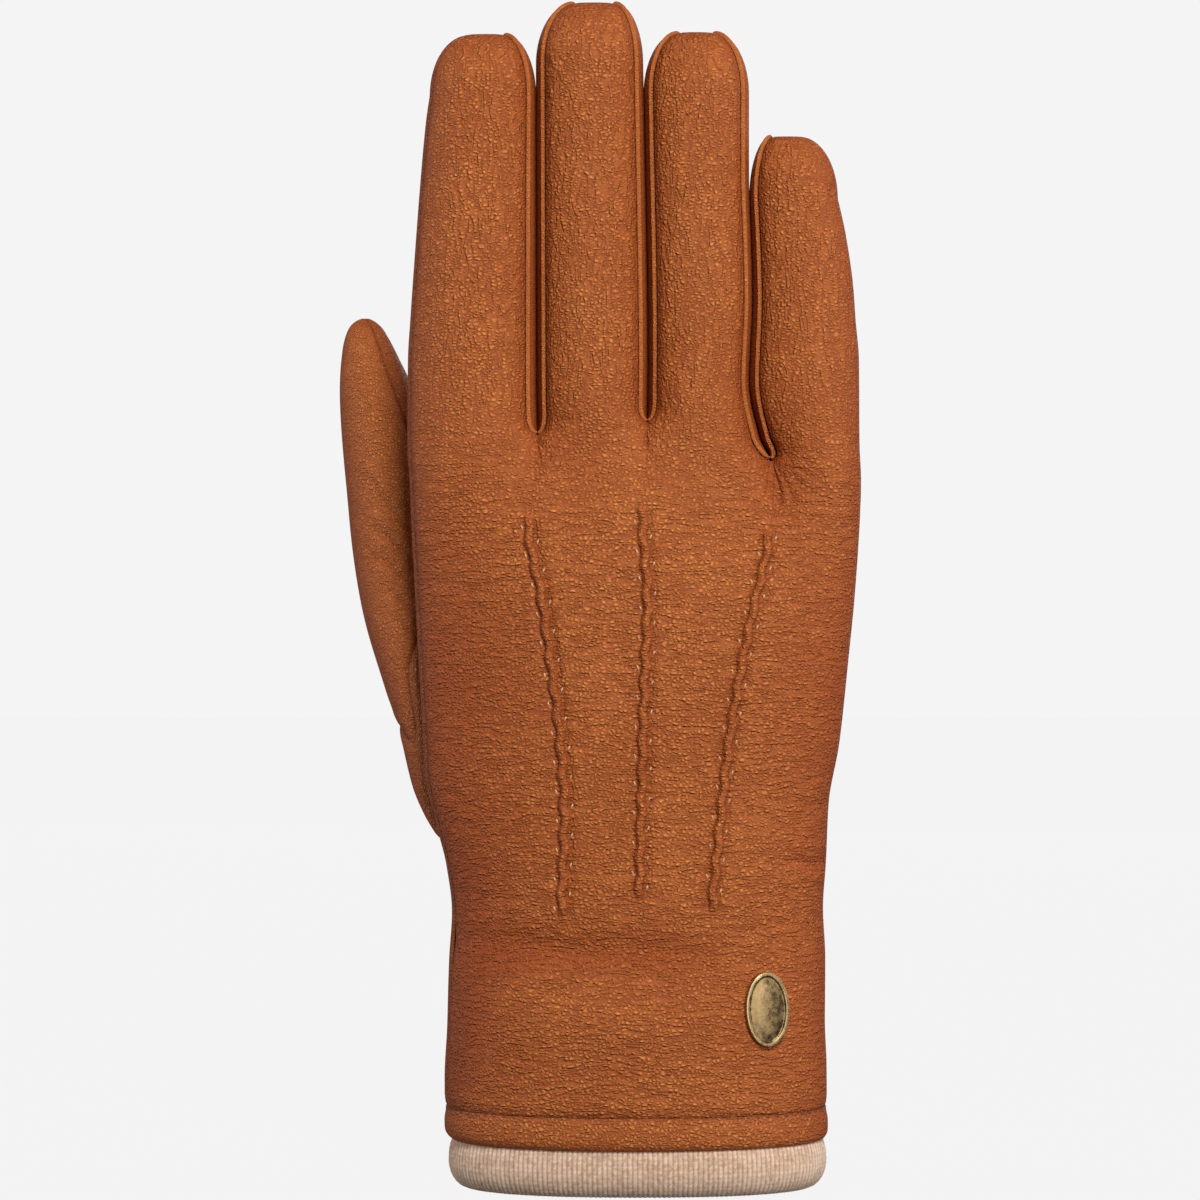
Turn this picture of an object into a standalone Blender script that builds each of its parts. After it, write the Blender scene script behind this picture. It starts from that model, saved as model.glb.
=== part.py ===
# A right-hand leather glove with a knitted lining, standing on its cuff with the fingers up.
# Frame: +Z towards the fingertips, the back of the hand faces -Y, the thumb is at -X.
# The origin is the centre of the opening that the hand goes in through. Sizes are in metres.

import math
from functools import partial

import bmesh
import bpy
from mathutils import Matrix, Vector

MM = 0.001

# Walls and clearances
LEATHER = 0.8 * MM
KNIT = 1.0 * MM
SEAM_GAP = 0.3 * MM
STALL_GAP = 0.9 * MM            # air between neighbouring fingers
ELASTIC_WALL = 0.7 * MM

# Cuff, wrist and palm
CUFF_HALF_WIDTH = 40.0 * MM
CUFF_DEPTH = 44.0 * MM
WRIST_HALF_WIDTH = 39.0 * MM
WRIST_DEPTH = 38.0 * MM
KNUCKLE_DEPTH = 30.0 * MM
WRIST_HEIGHT = 58.0 * MM
KNUCKLE_HEIGHT = 155.0 * MM
HEM_HEIGHT = 10.0 * MM          # lower edge of the leather, above the rim of the lining
HEM_WIDTH = 6.8 * MM
KNIT_CUFF_TUCK = 8.0 * MM       # how far the thick knitted cuff goes up inside the hem
HAND_POWER = 2.35               # of the superellipse that a section of the hand follows

# Fingers, from the thumb side: width of each at the root, height of its tip
FINGER_NAMES = ["index", "middle", "ring", "little"]
ROOT_WIDTHS = [27.3 * MM, 22.9 * MM, 25.8 * MM, 18.8 * MM]
TIP_HEIGHTS = [241.4 * MM, 248.0 * MM, 241.8 * MM, 220.0 * MM]
ROOT_DEPTHS = [22.0 * MM, 22.0 * MM, 21.5 * MM, 19.5 * MM]
TIP_DEPTHS = [18.5 * MM, 19.0 * MM, 18.5 * MM, 16.5 * MM]
DOME_HEIGHT = 13.0 * MM
TIP_HALF_FLAT = 3.6 * MM
FINGER_POWER = 2.3
# Height at each of the five lines that bound the four fingers, outer edge, three crotches, outer edge
EDGE_HEIGHTS = [155.0 * MM, 157.4 * MM, 160.0 * MM, 152.2 * MM, 150.0 * MM]
# How far each line drifts sideways above its start: (height above the start, drift)
EDGE_DRIFTS = [
    [(0, 0), (26 * MM, 0.6 * MM), (55 * MM, 2.7 * MM), (77 * MM, 5.3 * MM)],
    [(0, 0), (78 * MM, -0.4 * MM)],
    [(0, 0), (11 * MM, 0.2 * MM), (75 * MM, -0.8 * MM)],
    [(0, 0), (4 * MM, -1.8 * MM), (16 * MM, -4.4 * MM), (33 * MM, -3.7 * MM), (58 * MM, -4.4 * MM)],
    [(0, 0), (21 * MM, -0.1 * MM), (36.5 * MM, -1.3 * MM), (47 * MM, -2.8 * MM), (57 * MM, -5.0 * MM)],
]
FOURCHETTE_ANGLE = math.radians(38)   # from the side of the finger round to its seam
KNUCKLE_FADE = 34.0 * MM              # how far below the crotches the fingers' thickness still shows
VALLEY_FADE = 4.5 * MM                # how fast the valley under a crotch fills
FOURCHETTE_TAPER = 0.62               # share of its width that a strip keeps at the tip

# Joints
HINGE_RISE = 12.0 * MM                # a finger's hinge above the mean of its two crotches
FLEX_RISE = 8.0 * MM                  # the soft root reaches this far above the hinge

# Thumb: height, centre x, centre y, half-width, half-depth of its level sections
THUMB_SECTIONS = [
    (72.0 * MM, -35.0 * MM, 5.2 * MM, 6.0 * MM, 3.6 * MM),
    (77.6 * MM, -35.5 * MM, 6.8 * MM, 9.0 * MM, 5.6 * MM),
    (84.0 * MM, -36.1 * MM, 8.6 * MM, 11.0 * MM, 7.6 * MM),
    (94.0 * MM, -37.2 * MM, 11.2 * MM, 12.2 * MM, 10.0 * MM),
    (104.0 * MM, -40.2 * MM, 14.4 * MM, 12.5 * MM, 11.6 * MM),
    (118.0 * MM, -44.5 * MM, 18.2 * MM, 12.4 * MM, 12.0 * MM),
    (132.0 * MM, -47.6 * MM, 21.4 * MM, 11.8 * MM, 11.6 * MM),
    (147.0 * MM, -50.0 * MM, 22.8 * MM, 10.9 * MM, 10.8 * MM),
    (162.0 * MM, -53.2 * MM, 23.4 * MM, 8.9 * MM, 9.4 * MM),
    (172.8 * MM, -55.7 * MM, 23.4 * MM, 6.2 * MM, 7.0 * MM),
    (179.0 * MM, -56.7 * MM, 23.4 * MM, 3.9 * MM, 4.2 * MM),
    (181.8 * MM, -56.9 * MM, 23.4 * MM, 0.9 * MM, 0.9 * MM),
]
THUMB_FLEX_TOP = 129.0 * MM
THUMB_SEAM = math.radians(115)        # where the thumb's two pieces meet, on the side that faces the hand

# Trim on the back
POINT_WIDTH = 2.0 * MM
POINT_RISE = 0.9 * MM
POINT_ROUTES = {
    "back_point_left": [
        (60.0, -15.3), (78.6, -14.8), (93.3, -15.6), (108.0, -17.4), (122.5, -19.4), (138.8, -22.5),
    ],
    "back_point_centre": [(63.4, 0.6), (87.1, 1.1), (108.0, 1.7), (122.5, 2.3), (140.6, 1.1)],
    "back_point_right": [
        (60.7, 15.5), (70.2, 16.4), (93.3, 18.9), (112.1, 22.1), (122.5, 24.4), (135.3, 27.3),
    ],
}
BADGE_PLACE = (26.3 * MM, 38.7 * MM)
BADGE_SIZE = (11.0 * MM, 16.0 * MM, 1.2 * MM)
WASHER_RADIUS = 3.2 * MM
WASHER_WALL = 0.5 * MM
ELASTIC_HEIGHT = 67.0 * MM
ELASTIC_WIDTH = 6.0 * MM
ELASTIC_SPAN = (-0.62, 0.93)          # as shares of the wrist's half-width
PAD_WALL = 0.5 * MM
PAD_HALF_ANGLE = math.radians(38)
PAD_LENGTH = 16.0 * MM
PAD_BELOW_TIP = 4.0 * MM
PAD_STEPS = 4
THUMB_PAD_LOW = 159.0 * MM

# How finely each piece is drawn
ROW_COUNT = 5                         # steps across each finger's share of the hand
PANEL_COUNT = 7                       # steps across the back of a finger
RING_COUNT = 16                       # steps round a finger
LINING_COUNT = 12                     # steps round a finger's lining
CUFF_COUNT = 32                       # steps round the cuff
POINT_STEPS = 14                      # steps along a raised point
ELASTIC_STEPS = 14                    # steps along the elastic
BADGE_SEGMENTS = 18
DOME_SHARES = (0.0, 0.42, 0.68, 0.86, 0.96, 1.0)
LINING_DOME_SHARES = (0.0, 0.5, 0.8, 0.94)
ROOT_SHARES = (0.0, 0.2, 0.5, 1.0)    # steps up the soft root of a finger

# Levels of the hand, from the hem upwards, and then distances below the crotches
HAND_LEVELS = [31 * MM, 45 * MM, WRIST_HEIGHT, 73 * MM, 91 * MM, 109 * MM]
HAND_DROPS = [30 * MM, 18 * MM, 10 * MM, 5.5 * MM, 2.5 * MM, 0.0]
LINING_LEVELS = [37 * MM, WRIST_HEIGHT, 77 * MM, 97 * MM, 117 * MM]
LINING_DROPS = [24 * MM, 14 * MM, 6 * MM]
CUTTER_LEVELS = [37 * MM, WRIST_HEIGHT, 73 * MM, 91 * MM, 109 * MM, 121 * MM, 133 * MM, 143 * MM]
CUTTER_DROP = 8.0 * MM                # the cutter keeps this far below the valleys of the crotches
MOUTH_LEVELS = [81 * MM, 87 * MM, 94 * MM, 104 * MM, 115 * MM, THUMB_FLEX_TOP]
THUMB_LINING_LEVELS = [100 * MM, 115 * MM, 129 * MM, 143 * MM, 155 * MM, 165 * MM, 173 * MM]
THUMB_ROOT_STEPS = 6
THUMB_TRIM = math.radians(2.2)        # half of the gap along the thumb's two seams
THUMB_WALL = 0.8 * LEATHER            # the thumb's leather is skived thinner

# Derived places
EDGE_LEAN = 0.35 * LEATHER            # how far a wall leans over its seam, from its outer to its inner face
LINING_INSET = LEATHER + ELASTIC_WALL + 2 * SEAM_GAP
LEATHER_START = HEM_HEIGHT + HEM_WIDTH + SEAM_GAP
KNIT_CUFF_TOP = HEM_HEIGHT + KNIT_CUFF_TUCK
SEAM_EDGE = SEAM_GAP / 2 + EDGE_LEAN  # a piece stops this far short of its seam's middle

# Colours, as linear values
COGNAC = (0.352, 0.098, 0.030)
COGNAC_DARK = (0.235, 0.052, 0.014)
OATMEAL = (0.503, 0.337, 0.235)
BRASS = (0.330, 0.230, 0.100)
ELASTIC_WHITE = (0.70, 0.68, 0.62)


def clear_scene():
    for obj in list(bpy.data.objects):
        bpy.data.objects.remove(obj, do_unlink=True)


def material(name, colour, roughness, metallic=0.0):
    found = bpy.data.materials.new(name)
    found.use_nodes = True
    shader = found.node_tree.nodes["Principled BSDF"]
    shader.inputs["Base Color"].default_value = (*colour, 1)
    shader.inputs["Roughness"].default_value = roughness
    shader.inputs["Metallic"].default_value = metallic
    return found


def through(points, at):
    """The smooth curve through a few (place, value) points, with no overshoot between them."""
    if at <= points[0][0]:
        return points[0][1]
    if at >= points[-1][0]:
        return points[-1][1]
    slopes = [(b[1] - a[1]) / (b[0] - a[0]) for a, b in zip(points, points[1:])]
    tangents = [slopes[0]]
    for before, after in zip(slopes, slopes[1:]):
        same_way = before * after > 0
        tangents.append(2 * before * after / (before + after) if same_way else 0.0)
    tangents.append(slopes[-1])
    k = max(i for i, point in enumerate(points[:-1]) if point[0] <= at)
    span = points[k + 1][0] - points[k][0]
    t = (at - points[k][0]) / span
    value = (2 * t**3 - 3 * t**2 + 1) * points[k][1] + (3 * t**2 - 2 * t**3) * points[k + 1][1]
    value += (t**3 - 2 * t**2 + t) * span * tangents[k] + (t**3 - t**2) * span * tangents[k + 1]
    return value


def mix(a, b, share):
    return a + (b - a) * share


def fade(distance, reach):
    """1 at no distance and 0 at the reach, level at both ends."""
    t = min(max(distance / reach, 0.0), 1.0)
    return 1 - t * t * (3 - 2 * t)


def bulge(share, power):
    """Height of a unit superellipse over a share of its half-width."""
    return max(0.0, 1 - min(abs(share), 1.0) ** power) ** (1 / power)


# ---- the hand's outer surface: s runs from -1 at the thumb side to 1 at the little finger's side ----

PALM_HALF_WIDTH = sum(ROOT_WIDTHS) / 2
EDGE_SHARES = [-1 + sum(ROOT_WIDTHS[:i]) / PALM_HALF_WIDTH for i in range(5)]


def hand_half_width(z):
    ease = mix(WRIST_HEIGHT, KNUCKLE_HEIGHT, 0.4)
    stations = [
        (0.0, CUFF_HALF_WIDTH),
        (HEM_HEIGHT + HEM_WIDTH, CUFF_HALF_WIDTH),
        (WRIST_HEIGHT, WRIST_HALF_WIDTH),
        (ease, mix(WRIST_HALF_WIDTH, PALM_HALF_WIDTH, 0.62)),
        (KNUCKLE_HEIGHT, PALM_HALF_WIDTH),
    ]
    return through(stations, z)


def hand_half_depth(z):
    stations = [
        (0.0, CUFF_DEPTH / 2),
        (HEM_HEIGHT + HEM_WIDTH, CUFF_DEPTH / 2),
        (WRIST_HEIGHT, WRIST_DEPTH / 2),
        (KNUCKLE_HEIGHT, KNUCKLE_DEPTH / 2),
    ]
    return through(stations, z)


def crotch_height(s):
    return through(list(zip(EDGE_SHARES, EDGE_HEIGHTS)), s)


def half_depth_at(s, z):
    """Half the thickness of the hand, with the valleys that run down from the crotches."""
    column = max(i for i in range(4) if s >= EDGE_SHARES[i] or i == 0)
    centre = (EDGE_SHARES[column] + EDGE_SHARES[column + 1]) / 2
    half = (EDGE_SHARES[column + 1] - EDGE_SHARES[column]) / 2
    across = (s - centre) / half
    lobe = bulge(across, FINGER_POWER)
    below = crotch_height(s) - z
    settled = fade(below, KNUCKLE_FADE)
    hand = hand_half_depth(z) * bulge(s, HAND_POWER)
    finger = ROOT_DEPTHS[column] / 2
    outer = (column == 0 and across < 0) or (column == 3 and across > 0)
    if outer:
        return mix(hand, finger * lobe, settled)
    valley = 1 - (1 - lobe) * math.exp(-max(below, 0.0) / VALLEY_FADE)
    return mix(hand, finger, settled) * valley


def hand_point(s, z, side, least):
    """A point of the hand's surface, at least so thick; side is -1 on the back and 1 on the palm."""
    return Vector((hand_half_width(z) * s, side * max(half_depth_at(s, z), least), z))


# ---- the fingers' outer surface: turn runs from 0 at the thumb side over the back ----


def edge_x(line, z):
    base = PALM_HALF_WIDTH * EDGE_SHARES[line]
    return base + through(EDGE_DRIFTS[line], z - EDGE_HEIGHTS[line])


def finger_section(i, z):
    dome_start = TIP_HEIGHTS[i] - DOME_HEIGHT
    level = min(z, dome_start)
    left = edge_x(i, level) + (STALL_GAP / 2 if i > 0 else 0)
    right = edge_x(i + 1, level) - (STALL_GAP / 2 if i < 3 else 0)
    half_width = (right - left) / 2
    share = (level - EDGE_HEIGHTS[i]) / (dome_start - EDGE_HEIGHTS[i])
    half_depth = mix(ROOT_DEPTHS[i], TIP_DEPTHS[i], share) / 2
    if z > dome_start:
        closing = math.sqrt(max(0.0, 1 - ((z - dome_start) / DOME_HEIGHT) ** 2))
        half_width = mix(TIP_HALF_FLAT, half_width, closing)
        half_depth = half_depth * closing
    return (left + right) / 2, half_width, half_depth


def turned(centre, half_width, half_depth, turn, z, inset, least=0.0):
    c, s = math.cos(turn), math.sin(turn)
    power = 2 / FINGER_POWER
    x = centre[0] - max(half_width - inset, least) * math.copysign(abs(c) ** power, c)
    y = centre[1] - max(half_depth - inset, least) * math.copysign(abs(s) ** power, s)
    return Vector((x, y, z))


def finger_point(i, turn, z, inset=0.0, least=0.0):
    x, half_width, half_depth = finger_section(i, z)
    return turned((x, 0.0), half_width, half_depth, turn, z, inset, least)


def thumb_point(turn, z, inset=0.0, least=0.0):
    x, y, half_width, half_depth = [
        through([(row[0], row[k]) for row in THUMB_SECTIONS], z) for k in range(1, 5)
    ]
    return turned((x, y), half_width, half_depth, turn, z, inset, least)


# ---- building solids ----


def new_object(name, mesh, look):
    obj = bpy.data.objects.new(name, mesh)
    bpy.context.scene.collection.objects.link(obj)
    mesh.materials.append(look)
    mesh.shade_smooth()
    mesh.set_sharp_from_angle(angle=math.radians(50))
    return obj


def mesh_of_rows(name, rows, loop=False, caps=False):
    """A mesh over rows of points, all of one length; loop joins each row's ends, caps closes both ends."""
    bm = bmesh.new()
    grid = [[bm.verts.new(point) for point in row] for row in rows]
    for low, high in zip(grid, grid[1:]):
        count = len(low)
        for j in range(count if loop else count - 1):
            k = (j + 1) % count
            bm.faces.new((low[j], low[k], high[k], high[j]))
    if caps:
        bm.faces.new(list(reversed(grid[0])))
        bm.faces.new(grid[-1])
    mesh = bpy.data.meshes.new(name)
    bm.to_mesh(mesh)
    bm.free()
    return mesh


def sheet(name, rows, wall, look, loop=False, outwards=False):
    """A sheet with a wall. Its rows climb, and run from left to right over the back."""
    obj = new_object(name, mesh_of_rows(name, rows, loop), look)
    solid = obj.modifiers.new("wall", "SOLIDIFY")
    solid.thickness = wall
    solid.offset = 1.0 if outwards else -1.0
    solid.use_rim = True
    return obj


def turns(first, last, count):
    return [mix(first, last, k / count) for k in range(count + 1)]


def dome_levels(i):
    start = TIP_HEIGHTS[i] - DOME_HEIGHT
    return [start + DOME_HEIGHT * q for q in DOME_SHARES]


def hinge_height(i):
    return (EDGE_HEIGHTS[i] + EDGE_HEIGHTS[i + 1]) / 2 + HINGE_RISE


def stall_levels(i):
    low = hinge_height(i) + FLEX_RISE + SEAM_GAP
    dome = dome_levels(i)
    straight = [mix(low, dome[0], k / 3) for k in range(3)]
    return straight + dome


def column_shares():
    """Shares across the hand, closer together beside the crotches and the outer edges."""
    shares = []
    for i in range(4):
        trim_left = STALL_GAP / 2 / PALM_HALF_WIDTH if i > 0 else 0.0
        trim_right = STALL_GAP / 2 / PALM_HALF_WIDTH if i < 3 else 0.0
        left = EDGE_SHARES[i] + trim_left
        right = EDGE_SHARES[i + 1] - trim_right
        for turn in turns(0.0, math.pi, ROW_COUNT):
            shares.append(mix(left, right, (1 - math.cos(turn)) / 2))
    return shares


def joined_shares():
    """The same shares with one point at each crotch instead of two."""
    steps = ROW_COUNT + 1
    shares = column_shares()
    return [s for k, s in enumerate(shares) if k % steps != ROW_COUNT or k == len(shares) - 1]


def levels_of(heights, drops):
    """Each level of the hand as a function of the share across it; the last ones follow the crotches."""
    flat = [lambda s, z=z: z for z in heights]
    return flat + [lambda s, d=d: crotch_height(s) - d for d in drops]


def hand_rows(side):
    """Rows of one side of the hand, from the hem up to the crotches."""
    first_middle = (EDGE_SHARES[0] + EDGE_SHARES[1]) / 2
    last_middle = (EDGE_SHARES[3] + EDGE_SHARES[4]) / 2
    rows = []
    for level in levels_of([LEATHER_START] + HAND_LEVELS, HAND_DROPS):
        row = []
        for s in column_shares():
            inner = first_middle < s < last_middle
            row.append(hand_point(s, level(s), side, LEATHER + SEAM_GAP if inner else SEAM_EDGE))
        rows.append(row if side < 0 else list(reversed(row)))
    return rows


def make_hand(leather):
    sheet("back_panel", hand_rows(-1), LEATHER, leather)
    return sheet("palm_panel", hand_rows(1), LEATHER, leather)


def cuff_ring(levels, inset):
    rows = []
    for z in levels:
        row = []
        for turn in turns(0.0, 2 * math.pi, CUFF_COUNT)[:-1]:
            s = -math.cos(turn)
            side = -1 if turn <= math.pi else 1
            width = hand_half_width(z) - inset
            depth = (hand_half_depth(z) - inset) * abs(math.sin(turn)) ** (2 / HAND_POWER)
            x = width * math.copysign(abs(s) ** (2 / HAND_POWER), s)
            row.append(Vector((x, side * depth, z)))
        rows.append(row)
    return rows


def make_cuff(leather, knit):
    hem = [HEM_HEIGHT, HEM_HEIGHT + HEM_WIDTH / 2, HEM_HEIGHT + HEM_WIDTH]
    sheet("cuff_hem", cuff_ring(hem, 0.0), LEATHER, leather, loop=True)
    cuff = [0.0, HEM_HEIGHT, KNIT_CUFF_TOP]
    sheet("lining_cuff", cuff_ring(cuff, LEATHER + 3 * SEAM_GAP), 2 * KNIT, knit, loop=True)


def lining_rows():
    shares = joined_shares()
    levels = levels_of([KNIT_CUFF_TOP + SEAM_GAP] + LINING_LEVELS, LINING_DROPS)
    return [around(shares, level) for level in levels]


def around(shares, level):
    """One closed row of the hand's lining: over the back, then under the palm."""
    back = []
    palm = []
    for s in shares:
        z = level(s)
        width = hand_half_width(z) - LINING_INSET
        depth = max(half_depth_at(s, z) - LINING_INSET, 0.0)
        back.append(Vector((width * s, -depth, z)))
        palm.append(Vector((width * s, depth, z)))
    return back + list(reversed(palm[1:-1]))


def solid_of_rows(name, rows):
    """A closed solid used only to cut other pieces."""
    mesh = mesh_of_rows(name, rows, loop=True, caps=True)
    obj = bpy.data.objects.new(name, mesh)
    bpy.context.scene.collection.objects.link(obj)
    obj.hide_render = True
    obj.display_type = "WIRE"
    return obj


def cut(obj, cutter):
    boolean = obj.modifiers.new("cut", "BOOLEAN")
    boolean.operation = "DIFFERENCE"
    boolean.solver = "EXACT"
    boolean.object = cutter


def finger_panel(i, sign, seam_trim):
    """Rows of one finger's back (sign 1) or palm side (sign -1), from the soft root to the tip."""
    levels = stall_levels(i)
    left = FOURCHETTE_ANGLE if i > 0 else 0.0
    right = FOURCHETTE_ANGLE if i < 3 else 0.0
    rows = []
    for z in levels:
        at_tip = z == levels[-1]
        first = 2 * seam_trim if at_tip else left + seam_trim
        last = math.pi - (2 * seam_trim if at_tip else right + seam_trim)
        row = []
        for turn in turns(first, last, PANEL_COUNT):
            point = finger_point(i, sign * turn, z, 0.0, SEAM_GAP + EDGE_LEAN)
            point.y = -sign * max(abs(point.y), SEAM_EDGE)
            row.append(point)
        rows.append(row if sign > 0 else list(reversed(row)))
    return rows


def fourchette_rows(i, middle, seam_trim):
    """Rows of the strip on one side of a finger, which narrows at the tip."""
    levels = stall_levels(i)[:-1]
    rows = []
    for z in levels:
        reach = FOURCHETTE_ANGLE * (FOURCHETTE_TAPER if z == levels[-1] else 1.0) - seam_trim
        rows.append([finger_point(i, middle + t, z) for t in turns(-reach, reach, 2)])
    return rows


def root_rows(i, ring, drop, inset):
    """Rows of a finger's soft root, from its seam with the hand up to the stiffer part of the finger."""
    top = hinge_height(i) + FLEX_RISE
    rows = []
    for share in ROOT_SHARES:
        rows.append([finger_point(i, t, mix(root_level(i, t) + drop, top, share), inset) for t in ring])
    return rows


def make_finger(i, leather, dark_leather, knit):
    name = FINGER_NAMES[i]
    seam_trim = 2.5 * SEAM_EDGE / ROOT_WIDTHS[i]
    sheet(name + "_back", finger_panel(i, 1, seam_trim), LEATHER, leather)
    sheet(name + "_palm", finger_panel(i, -1, seam_trim), LEATHER, leather)
    if i > 0:
        sheet(name + "_fourchette_left", fourchette_rows(i, 0.0, seam_trim), LEATHER, dark_leather)
    if i < 3:
        sheet(name + "_fourchette_right", fourchette_rows(i, math.pi, seam_trim), LEATHER, dark_leather)
    ring = turns(0.0, 2 * math.pi, RING_COUNT)[:-1]
    sheet(name + "_root", root_rows(i, ring, 3 * SEAM_GAP, 0.0), LEATHER, leather, loop=True)

    inset = LINING_INSET
    foot = 2 * SEAM_GAP - LINING_DROPS[-1]
    tip = TIP_HEIGHTS[i] - inset
    halfway = mix(hinge_height(i) + FLEX_RISE, tip - DOME_HEIGHT, 0.5)
    ring = turns(0.0, 2 * math.pi, LINING_COUNT)[:-1]
    rows = [[finger_point(i, t, root_level(i, t) + foot, inset) for t in ring]]
    rows += root_rows(i, ring, 3 * SEAM_GAP, inset)
    rows.append([finger_point(i, t, halfway, inset) for t in ring])
    for q in LINING_DOME_SHARES:
        z = tip - DOME_HEIGHT * (1 - q)
        rows.append([finger_point(i, t, z, inset, KNIT + SEAM_GAP) for t in ring])
    sheet("lining_" + name, rows, KNIT, knit, loop=True)


def edge_share_of(i, turn):
    """Where a turn round the finger's root falls across the hand."""
    c = math.cos(turn)
    across = -math.copysign(abs(c) ** (2 / FINGER_POWER), c)
    return mix(EDGE_SHARES[i], EDGE_SHARES[i + 1], (1 + across) / 2)


def root_level(i, turn):
    """Height of the seam between the finger's root and the hand."""
    return crotch_height(edge_share_of(i, turn))


def touch_pad(name, point, low, look):
    """A small patch on the palm side of a tip, following the leather whose points the function gives."""
    middle = -math.pi / 2
    rows = []
    for z in [low + PAD_LENGTH * k / PAD_STEPS for k in range(PAD_STEPS + 1)]:
        across = turns(middle - PAD_HALF_ANGLE, middle + PAD_HALF_ANGLE, PAD_STEPS)
        rows.append([point(turn, z, -SEAM_GAP) for turn in across])
    sheet(name, rows, PAD_WALL, look, outwards=True)


def make_thumb(leather, knit):
    ring = turns(0.0, 2 * math.pi, RING_COUNT)[:-1]
    low = THUMB_SECTIONS[0][0]
    top = THUMB_SECTIONS[-1][0]
    root_levels = [mix(low, THUMB_FLEX_TOP, k / THUMB_ROOT_STEPS) for k in range(THUMB_ROOT_STEPS + 1)]
    root_rings = [[thumb_point(t, z) for t in ring] for z in root_levels]
    root = sheet("thumb_root", root_rings, LEATHER, leather, loop=True)
    start = THUMB_FLEX_TOP + SEAM_GAP
    levels = [start] + [row[0] for row in THUMB_SECTIONS if row[0] > start + 2 * MM]
    for name, first in (("thumb_outer", THUMB_SEAM - math.pi), ("thumb_inner", THUMB_SEAM)):
        rows = []
        for z in levels:
            near_tip = z > top - 5 * MM
            gap = THUMB_TRIM * (4 if near_tip else 1) * (3 if z == top else 1)
            across = turns(first + gap, first + math.pi - gap, PANEL_COUNT)
            rows.append([thumb_point(t, z) for t in across])
        sheet(name, rows, THUMB_WALL, leather)
    inset = LEATHER + 2 * SEAM_GAP
    rows = [[thumb_point(t, z, inset, KNIT + SEAM_GAP) for t in ring] for z in THUMB_LINING_LEVELS]
    return root, sheet("lining_thumb", rows, KNIT, knit, loop=True)


def hand_solid(name):
    """The closed outer shape of the hand with its seam clearance, as a cutter."""
    rows = []
    for z in CUTTER_LEVELS:
        back = []
        palm = []
        for s in joined_shares():
            width = hand_half_width(z) + SEAM_GAP
            depth = half_depth_at(s, min(z, crotch_height(s) - CUTTER_DROP)) + SEAM_GAP
            back.append(Vector((width * s, -depth, z)))
            palm.append(Vector((width * s, depth, z)))
        rows.append(back + list(reversed(palm)))
    return solid_of_rows(name, rows)


def set_in_thumb(palm, lining_hand, root, lining_thumb):
    """Opens the palm and its lining to the thumb, and ends the thumb's root on the palm's surface."""
    ring = turns(0.0, 2 * math.pi, RING_COUNT)[:-1]
    inset = LEATHER + KNIT + 2 * SEAM_GAP
    mouth_rows = [[thumb_point(t, z, inset) for t in ring] for z in MOUTH_LEVELS]
    mouth = solid_of_rows("thumb_mouth_cutter", mouth_rows)
    cut(palm, mouth)
    cut(lining_hand, mouth)
    body = hand_solid("hand_cutter")
    cut(root, body)
    cut(lining_thumb, body)


def on_back(x, z, inset=0.0):
    half_width = hand_half_width(z)
    return Vector((x, -(half_depth_at(x / half_width, z) - inset), z))


def back_normal(x, z):
    step = 0.5 * MM
    along_x = on_back(x + step, z) - on_back(x - step, z)
    along_z = on_back(x, z + step) - on_back(x, z - step)
    return along_x.cross(along_z).normalized()


def make_points(dark_leather):
    for name, route in POINT_ROUTES.items():
        route = [(z * MM, x * MM) for z, x in route]
        rows = []
        for k in range(POINT_STEPS + 1):
            z = mix(route[0][0], route[-1][0], k / POINT_STEPS)
            x = through(route, z)
            rows.append([on_back(x + dx * POINT_WIDTH / 2, z, -2 * SEAM_GAP) for dx in (-1, 0, 1)])
        sheet(name, rows, POINT_RISE, dark_leather, outwards=True)


def disc(name, centre, normal, radii, wall, look, rounding):
    bm = bmesh.new()
    bmesh.ops.create_cone(bm, cap_ends=True, segments=BADGE_SEGMENTS, radius1=1.0, radius2=1.0, depth=1.0)
    bmesh.ops.scale(bm, vec=(radii[0], radii[1], wall), verts=bm.verts)
    across = Vector((0, 0, 1)).cross(normal).normalized()
    up = normal.cross(across)
    turn = Matrix((across, up, normal)).transposed().to_4x4()
    bmesh.ops.transform(bm, matrix=Matrix.Translation(centre) @ turn, verts=bm.verts)
    mesh = bpy.data.meshes.new(name)
    bm.to_mesh(mesh)
    bm.free()
    obj = new_object(name, mesh, look)
    bevel = obj.modifiers.new("rounding", "BEVEL")
    bevel.width = rounding
    bevel.segments = 1
    bevel.limit_method = "ANGLE"
    return obj


def make_badge(brass):
    x, z = BADGE_PLACE
    normal = back_normal(x, z)
    surface = on_back(x, z)
    width, height, wall = BADGE_SIZE
    front = surface + normal * (SEAM_GAP + wall / 2)
    disc("badge_plate", front, normal, (width / 2, height / 2), wall, brass, wall / 4)
    behind = surface - normal * (LEATHER + 2 * SEAM_GAP + WASHER_WALL / 2)
    disc("badge_washer", behind, normal, (WASHER_RADIUS, WASHER_RADIUS), WASHER_WALL, brass, WASHER_WALL / 5)


def make_elastic(look):
    inset = LEATHER + SEAM_GAP
    rows = []
    for z in (ELASTIC_HEIGHT - ELASTIC_WIDTH / 2, ELASTIC_HEIGHT + ELASTIC_WIDTH / 2):
        row = []
        for s in turns(ELASTIC_SPAN[0], ELASTIC_SPAN[1], ELASTIC_STEPS):
            width = hand_half_width(z) - inset
            row.append(Vector((width * s, half_depth_at(s, z) - inset, z)))
        rows.append(list(reversed(row)))
    sheet("wrist_elastic", rows, ELASTIC_WALL, look)


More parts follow.
